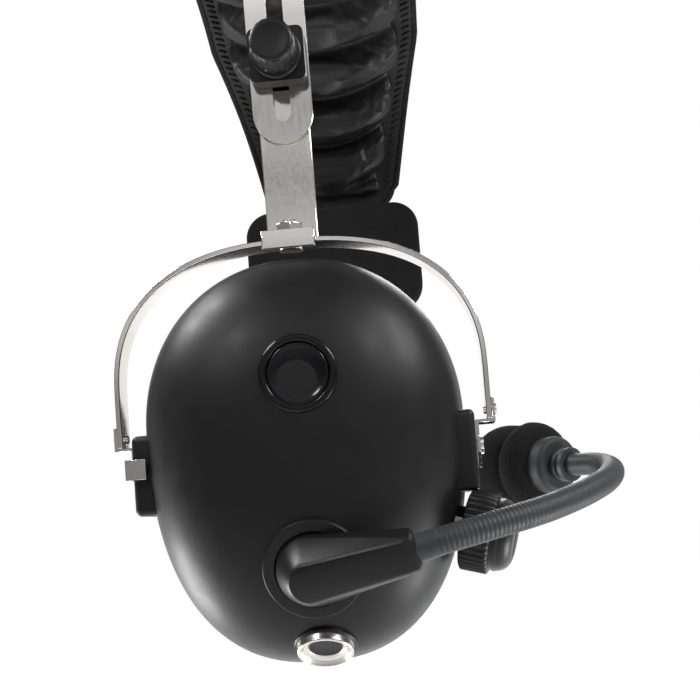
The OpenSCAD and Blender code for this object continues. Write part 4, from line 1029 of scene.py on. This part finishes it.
class HEADSET_OT_cushion(bpy.types.Operator):
    """Builds the channelled head cushion, its stitched border and its keepers"""

    bl_idname = "headset.cushion"
    bl_label = "Head Cushion"

    def execute(self, context):
        padding = context.scene.headset_padding
        channels = padding.channels
        start, end = -CUSHION_CUP + BORDER, CUSHION_TEMPLE - BORDER
        # Shares of the filling's grid on its face and on its flat underside
        face, under = 0.8, 0.2

        def across_at(u):
            if u < face:
                return -signed_power(math.cos(math.pi * u / face), 0.62)
            return 1 - 2 * (u - face) / under

        def seam_at(u, v):
            """1 on a seam between two channels, which runs in a smile across the cushion."""
            length = start + (end - start) * v
            across = across_at(u)
            bend = 8.5 * across * across * math.copysign(1, length) * min(1, abs(length) / 20)
            return abs(math.cos(math.pi * (length + bend - start) / (end - start) * channels))

        def pillow(u, v):
            length = start + (end - start) * v
            across = across_at(u)
            rise = abs(math.sin(math.pi * u / face)) ** 0.5 if u < face else 0.0
            seam = seam_at(u, v)
            half = cushion_half(length) - BORDER - 2.6 * seam**4
            full = 1 - SEAM_DEPTH / PILLOW_H * seam**7
            edge = max(0.0, min(1.0, (length - start) / 3.0, (end - length) / 3.0))
            crease = noise.noise(Vector((across * 11.0, length * 0.16, 3.0)))
            height = PILLOW_H * full * edge**0.5 * rise
            swell = noise.noise(Vector((across * 3.0, length * 0.09, 0)))
            height *= 1 + 0.03 * swell + 0.07 * crease * seam**2
            return band_point(length, PILLOW_BACK - height, across * half)

        def sewn(u, v):
            if u >= 0.79 or v < 0.006 or v > 0.994:
                return 1.0
            return min(1.0, max(0.0, (seam_at(u, v) ** 7 - 0.6) / 0.25))

        filled = swollen(grid_surface(72, 320, pillow), sewn, 4.0, 1.8, 0.03)
        cushion = add_piece(
            "cushion_channels",
            filled,
            "leather",
            "headband",
            ("head_cushion",),
            80.0,
            subdivide=1,
        )

        def backing(u, v):
            length = -CUSHION_CUP + (CUSHION_CUP + CUSHION_TEMPLE) * v
            half = rounded_half(length)
            if u < 0.45:
                return band_point(length, BACK_LOW, half * (1 - 2 * u / 0.45))
            if u < 0.5:
                return band_point(length, BACK_LOW + (BACK_TOP - BACK_LOW) * (u - 0.45) / 0.05, -half)
            if u < 0.95:
                return band_point(length, BACK_TOP, half * (2 * (u - 0.5) / 0.45 - 1))
            return band_point(length, BACK_TOP + (BACK_LOW - BACK_TOP) * (u - 0.95) / 0.05, half)

        sheet = grid_surface(40, 160, backing)
        add_piece("cushion_back", sheet, "leather", "headband", ("cushion_backing",))
        place, total = along(cushion_edge())

        def binding(u, v):
            here = place(total * v)
            way = place((total * v + 0.5) % total) - place((total * v - 0.5) % total)
            side = Vector((way.y, -way.x, 0)).normalized()
            angle = 2 * math.pi * u
            spot = here + side * (0.55 + 1.3 * signed_power(math.cos(angle), 0.7))
            return band_point(spot.y, -1.68 + 0.95 * signed_power(math.sin(angle), 0.7), spot.x)

        tape = grid_surface(12, 420, binding, caps=False)
        add_piece("cushion_binding", tape, "tape", "headband", ("edge_binding",), 70.0)
        stitches = []
        pitch = padding.stitch_pitch / MM
        for side in (-1, 1):
            count = int((CUSHION_CUP + CUSHION_TEMPLE - 2 * CORNER_R) / pitch)
            for length in steps(-CUSHION_CUP + CORNER_R, CUSHION_TEMPLE - CORNER_R, count):
                inner = Vector((side * (cushion_half(length) - 5.0), length + 0.5, 0))
                outer = Vector((side * (cushion_half(length) - 1.2), length - 0.9, 0))

                def stitch(u, v):
                    swell = 0.62 * math.sqrt(max(0.0, 1 - (2 * v - 1) ** 4))
                    spot = inner.lerp(outer, v)
                    angle = 2 * math.pi * u
                    spot.y += swell * math.cos(angle)
                    return band_point(spot.y, BACK_LOW - 0.12 - swell * math.sin(angle), spot.x)

                stitches.append(grid_surface(6, 5, stitch))
        add_piece("cushion_stitches", merged(*stitches), "thread", "headband", sharp=80.0)
        refined_node("cushion_straps", "leather", "headband", 0.4)
        return {"FINISHED"}


class HEADSET_OT_temple_pad(bpy.types.Operator):
    """Builds the foam temple pad on its hinged plate"""

    bl_idname = "headset.temple_pad"
    bl_label = "Temple Pad"

    def execute(self, context):
        width, height, radius, thick = 75.0, 46.0, 11.0, 10.0
        low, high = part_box("temple_pad")
        middle = (low + high) / (2 * MM)
        back = high.y / MM

        def outline(share, inset):
            straight_w, straight_h = width / 2 - radius, height / 2 - radius
            angle = 2 * math.pi * share
            corner = radius - inset
            quarter = int(share * 4) % 4
            cx = straight_w if quarter in (0, 3) else -straight_w
            cz = straight_h if quarter in (0, 1) else -straight_h
            return cx + corner * math.cos(angle), cz + corner * math.sin(angle)

        def pad(u, v):
            position = v * 10
            if position <= 1:
                scale, inset, depth = position, 0.6, 0.0
            elif position <= 4:
                share = (position - 1) / 3
                scale, inset = 1.0, 0.6 * (1 - math.sin(share * math.pi / 2))
                depth = 0.6 * (1 - math.cos(share * math.pi / 2))
            elif position <= 6:
                scale, inset, depth = 1.0, 0.0, 0.6 + (thick - 2.6) * (position - 4) / 2
            elif position <= 9:
                share = (position - 6) / 3
                scale, inset = 1.0, 2.0 * (1 - math.cos(share * math.pi / 2))
                depth = thick - 2.0 + 2.0 * math.sin(share * math.pi / 2)
            else:
                scale, inset, depth = 10 - position, 2.0, thick
            x, z = outline(u, inset)
            return Vector((middle.x + x * scale, back - depth, middle.z + z * scale))

        block = grid_surface(96, 40, pad)
        piece = add_piece("temple_cushion", block, "foam", "temple_rest", ("temple_pad",), 50.0)
        refined_node("temple_plate", "fitting", "temple_rest", 0.3)
        refined_node("temple_hinge_pin", "nickel", "temple_rest", 0.15)
        return {"FINISHED"}


class HEADSET_OT_ear_seal(bpy.types.Operator):
    """Builds the padded ear seal and the foam over the earphone"""

    bl_idname = "headset.ear_seal"
    bl_label = "Ear Seal"

    def execute(self, context):
        width, thick, front = 18.0, 15.5, -RIM_Y + 0.3

        def seal(u, v):
            angle = 2 * math.pi * v
            inset = width / 2 - width / 2 * signed_power(math.cos(angle), 0.75)
            rise = thick / 2 + thick / 2 * signed_power(math.sin(angle), 0.75)
            x, z = egg_point(u, inset)
            pucker = 0.12 * math.sin(2 * math.pi * u * 46) * max(0.0, -math.cos(angle)) ** 2
            return Vector((x, front + rise + pucker * 0.5, CUP_WIDE_Z + z))

        def glued(u, v):
            rise, outward = math.sin(2 * math.pi * v), math.cos(2 * math.pi * v)
            return 1.0 if rise < -0.75 or (outward > -0.2 and rise < 0.5) else 0.0

        ring = swollen(grid_surface(184, 32, seal, caps=False), glued, 4.0, 0.9, 0.01)
        piece = add_piece("seal_ring", ring, "leather", "ear_cup", ("ear_seal",), 80.0)

        def soft_sheet(inset, back, thickness, crown):
            """Place on a foam sheet of the cup's outline, with rounded edges and a low crown."""

            def place(u, v):
                if v <= 0.45:
                    share, face = v / 0.45, 0.0
                elif v >= 0.55:
                    share, face = (1 - v) / 0.45, 1.0
                else:
                    share, face = 1.0, (v - 0.45) / 0.1
                round_in = 0.35 * thickness
                if 0.45 < v < 0.55:
                    round_in *= 1 - math.sin(math.pi * face)
                x, z = egg_point(u, inset + round_in)
                level = back + thickness * face
                if face == 1.0:
                    ripple = noise.noise(Vector((x * share * 0.06, z * share * 0.06, inset)))
                    level += crown * (1 - share**4) * (0.7 + 0.3 * ripple)
                return Vector((x * share, level, CUP_WIDE_Z + z * share))

            return place

        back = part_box("seal_foam")[0].y / MM
        sheet = grid_surface(120, 40, soft_sheet(19.5, back, 1.9, 0.45), caps=False)
        cover = add_piece("seal_cover_foam", sheet, "liner", "ear_cup", ("seal_foam",), 80.0)

        # The foam behind the earphone, a ring that is open where the socket's body passes
        hole, cut = 28.6, 8.2
        deep_low, deep_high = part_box("acoustic_foam")
        ends = []
        for edge in (FACE_X + cut, FACE_X - cut):
            best = min(steps(0.5, 1.0, 400), key=lambda share: abs(egg_point(share, 10.2)[0] - edge))
            ends.append((best, math.asin(edge / hole)))

        def ring_foam(u, v):
            outer_turn = ends[0][0] - 1 + (ends[1][0] - ends[0][0] + 1) * v
            x, z = egg_point(outer_turn % 1.0, 10.2)
            inner = (ends[0][1] - math.pi / 2) + (2 * math.pi - (ends[0][1] - ends[1][1])) * v
            near = Vector((hole * math.cos(inner), 0, hole * math.sin(inner)))
            far = Vector((x, 0, CUP_WIDE_Z + z))
            angle = 2 * math.pi * u
            spot = near.lerp(far, 0.5 + 0.5 * signed_power(math.cos(angle), 0.4))
            middle = (deep_low.y + deep_high.y) / (2 * MM)
            spot.y = middle + 1.95 * signed_power(math.sin(angle), 0.4)
            return spot

        ring = grid_surface(48, 160, ring_foam)
        packed = add_piece("cup_lining_foam", ring, "liner", "ear_cup", ("acoustic_foam",), 50.0)
        return {"FINISHED"}


def combined(tree, operation, first, second):
    node = tree.nodes.new("ShaderNodeMath")
    node.operation = operation
    tree.links.new(first, node.inputs[0])
    tree.links.new(second, node.inputs[1])
    return node.outputs[0]


def coordinates(tree, kind="Generated"):
    """The X, Y and Z of a shaded spot, or of a ray's way in the world."""
    split = tree.nodes.new("ShaderNodeSeparateXYZ")
    tree.links.new(tree.nodes.new("ShaderNodeTexCoord").outputs[kind], split.inputs[0])
    return split.outputs


def faded(tree, value, start, end, low=0.0, high=1.0, blend="SMOOTHSTEP"):
    """Runs from low to high while a value runs from start to end."""
    node = tree.nodes.new("ShaderNodeMapRange")
    node.interpolation_type = blend
    for name, amount in (("From Min", start), ("From Max", end), ("To Min", low), ("To Max", high)):
        node.inputs[name].default_value = amount
    tree.links.new(value, node.inputs["Value"])
    return node.outputs[0]


def sees_backdrop(tree, facing):
    """1 for rays from the camera or through a clear piece, and for mirrored rays that meet the backdrop."""
    path = tree.nodes.new("ShaderNodeLightPath").outputs
    mirrored = combined(tree, "MULTIPLY", path["Is Glossy Ray"], facing)
    seen = combined(tree, "MAXIMUM", path["Is Camera Ray"], mirrored)
    return combined(tree, "MAXIMUM", seen, path["Is Transmission Ray"])


# Brightness of the studio in front of the headset, by height, from straight down to straight up
STUDIO = (
    (0.00, 0.30), (0.35, 0.34), (0.50, 0.28), (0.58, 0.38), (0.60, 0.72), (0.617, 0.74), (0.623, 0.34),
    (0.641, 0.34), (0.648, 0.78), (0.69, 0.82), (0.715, 1.00), (0.86, 0.90), (0.93, 0.22), (1.00, 0.10),
)


def mirrored_studio(tree):
    """How bright the room is in a mirrored ray: soft panels in front, dark at the sides and overhead."""
    way = coordinates(tree)
    levels = tree.nodes.new("ShaderNodeValToRGB")
    spots = levels.color_ramp.elements
    while len(spots) < len(STUDIO):
        spots.new(0.5)
    for spot, (place, level) in zip(spots, STUDIO):
        spot.position = place
        spot.color = (level, level, level, 1.0)
    tree.links.new(faded(tree, way["Z"], -1.0, 1.0, blend="LINEAR"), levels.inputs[0])
    front = faded(tree, way["Y"], -0.45, 0.1, 1.0, 0.45)
    left, right = faded(tree, way["X"], -0.55, -0.2, 0.32, 1.0), faded(tree, way["X"], 0.2, 0.55, 1.0, 0.5)
    room = combined(tree, "MULTIPLY", front, combined(tree, "MULTIPLY", left, right))
    return combined(tree, "MULTIPLY", levels.outputs[0], room)


def lay_floor(color):
    """A pale floor below the hanging headset, which fades into the backdrop and keeps a soft shadow."""
    bm = bmesh.new()
    bmesh.ops.create_grid(bm, x_segments=1, y_segments=1, size=4.0)
    bmesh.ops.translate(bm, vec=(0, 0, CAD_BOX[0][2] - 0.30), verts=bm.verts)
    mesh = bpy.data.meshes.new("floor")
    bm.to_mesh(mesh)
    bm.free()
    floor = bpy.data.objects.new("floor", mesh)
    bpy.context.scene.collection.objects.link(floor)
    material = bpy.data.materials.new("pale_floor")
    material.use_nodes = True
    tree = material.node_tree
    tree.nodes.clear()
    matte = tree.nodes.new("ShaderNodeBsdfDiffuse")
    matte.inputs["Color"].default_value = (*(0.8 * channel for channel in color), 1.0)
    glow = tree.nodes.new("ShaderNodeEmission")
    glow.inputs["Color"].default_value = (*color, 1.0)
    glow.inputs["Strength"].default_value = 0.72
    both = tree.nodes.new("ShaderNodeAddShader")
    choose = tree.nodes.new("ShaderNodeMixShader")
    out = tree.nodes.new("ShaderNodeOutputMaterial")
    tree.links.new(matte.outputs[0], both.inputs[0])
    tree.links.new(glow.outputs[0], both.inputs[1])
    # A mirrored ray sees the lit sweep only behind the headset
    behind = faded(tree, coordinates(tree, "Object")["Y"], -0.15, 0.35)
    tree.links.new(sees_backdrop(tree, behind), choose.inputs[0])
    tree.links.new(matte.outputs[0], choose.inputs[1])
    tree.links.new(both.outputs[0], choose.inputs[2])
    tree.links.new(choose.outputs[0], out.inputs[0])
    mesh.materials.append(material)


class HEADSET_OT_stage(bpy.types.Operator):
    """Sets the camera, the soft lights, the floor and the backdrop"""

    bl_idname = "headset.stage"
    bl_label = "Stage"

    def execute(self, context):
        scene = context.scene
        settings = scene.headset_stage
        data = bpy.data.cameras.new("camera")
        data.lens = 48.265
        data.sensor_width = 36.0
        data.shift_x = -0.0429
        data.shift_y = 0.1714
        data.clip_start = 0.01
        camera = bpy.data.objects.new("camera", data)
        scene.collection.objects.link(camera)
        turned_way = turn(90, "X") @ turn(-4.64, "Z") @ turn(3.06, "X") @ turn(2.63, "Y")
        camera.matrix_world = move(0.02935, -0.33398, -0.01858) @ turned_way
        scene.camera = camera

        aim = Vector((0.0, -0.09, 0.02))
        lamps = (
            ("upper_left", (-0.52, 0.02, 0.60), 0.30, 5.5),
            ("upper_right", (0.62, -0.26, 0.50), 0.30, 5.0),
            ("front_left", (-0.44, -0.66, 0.56), 0.18, 2.6),
            ("front_right", (0.50, -0.66, 0.54), 0.18, 2.4),
            ("low_left", (-0.46, 0.06, -0.24), 0.24, 3.4),
            ("low_right", (0.40, -0.10, -0.30), 0.24, 2.4),
            ("rear", (0.10, 0.70, 0.45), 0.40, 3.0),
        )
        for name, place, size, power in lamps:
            lamp = bpy.data.lights.new(name, "AREA")
            lamp.shape = "DISK"
            lamp.size = size
            lamp.energy = power * settings.light_power
            holder = bpy.data.objects.new(name, lamp)
            scene.collection.objects.link(holder)
            holder.location = place
            holder.rotation_mode = "QUATERNION"
            holder.rotation_quaternion = (aim - Vector(place)).to_track_quat("-Z", "Y")

        world = scene.world or bpy.data.worlds.new("world")
        scene.world = world
        world.use_nodes = True
        tree = world.node_tree
        tree.nodes.clear()
        # 1 towards the backdrop, fading to 0 in the rest of the room
        seen = sees_backdrop(tree, faded(tree, coordinates(tree)["Y"], 0.3, 0.8))
        room = tree.nodes.new("ShaderNodeBackground")
        room.inputs["Color"].default_value = (0.9, 0.92, 0.95, 1.0)
        # Plain even light for the surfaces, and the panels of the studio in what they mirror
        mirrored = tree.nodes.new("ShaderNodeLightPath").outputs["Is Glossy Ray"]
        level = tree.nodes.new("ShaderNodeMix")
        level.inputs["A"].default_value = 0.5
        tree.links.new(mirrored, level.inputs["Factor"])
        tree.links.new(mirrored_studio(tree), level.inputs["B"])
        tree.links.new(level.outputs["Result"], room.inputs["Strength"])
        white = tree.nodes.new("ShaderNodeBackground")
        white.inputs["Color"].default_value = (*settings.backdrop_color, 1.0)
        white.inputs["Strength"].default_value = 1.0
        choose = tree.nodes.new("ShaderNodeMixShader")
        out = tree.nodes.new("ShaderNodeOutputWorld")
        tree.links.new(seen, choose.inputs[0])
        tree.links.new(room.outputs[0], choose.inputs[1])
        tree.links.new(white.outputs[0], choose.inputs[2])
        tree.links.new(choose.outputs[0], out.inputs[0])
        lay_floor(settings.backdrop_color)

        scene.view_settings.view_transform = "Standard"
        return {"FINISHED"}


# ---------------------------------------------------------------- panel and registration
BUILDERS = (
    HEADSET_OT_stage,
    HEADSET_OT_ear_cup,
    HEADSET_OT_talk_switch,
    HEADSET_OT_socket,
    HEADSET_OT_volume,
    HEADSET_OT_boom,
    HEADSET_OT_microphone,
    HEADSET_OT_stirrup,
    HEADSET_OT_headband,
    HEADSET_OT_cushion,
    HEADSET_OT_temple_pad,
    HEADSET_OT_ear_seal,
)


class HEADSET_PT_panel(bpy.types.Panel):
    """Lists the headset's builders and settings"""

    bl_idname = "HEADSET_PT_panel"
    bl_label = "Aviation Headset"
    bl_space_type = "VIEW_3D"
    bl_region_type = "UI"
    bl_category = "Headset"

    def draw(self, context):
        layout = self.layout
        scene = context.scene
        for name in ("headset_plastic", "headset_metal", "headset_padding", "headset_stage"):
            box = layout.box()
            group = getattr(scene, name)
            for key in group.__annotations__:
                box.prop(group, key)
        for builder in BUILDERS:
            layout.operator(builder.bl_idname)


SETTINGS = (
    ("headset_plastic", HeadsetPlasticSettings),
    ("headset_metal", HeadsetMetalSettings),
    ("headset_padding", HeadsetPaddingSettings),
    ("headset_stage", HeadsetStageSettings),
)


def register():
    for name, group in SETTINGS:
        bpy.utils.register_class(group)
        setattr(bpy.types.Scene, name, PointerProperty(type=group))
    for item in (*BUILDERS, HEADSET_PT_panel):
        bpy.utils.register_class(item)


def unregister():
    for item in reversed((*BUILDERS, HEADSET_PT_panel)):
        bpy.utils.unregister_class(item)
    for name, group in reversed(SETTINGS):
        delattr(bpy.types.Scene, name)
        bpy.utils.unregister_class(group)


def main():
    register()
    for builder in BUILDERS:
        section, action = builder.bl_idname.split(".")
        getattr(getattr(bpy.ops, section), action)()


if __name__ == "__main__":
    main()
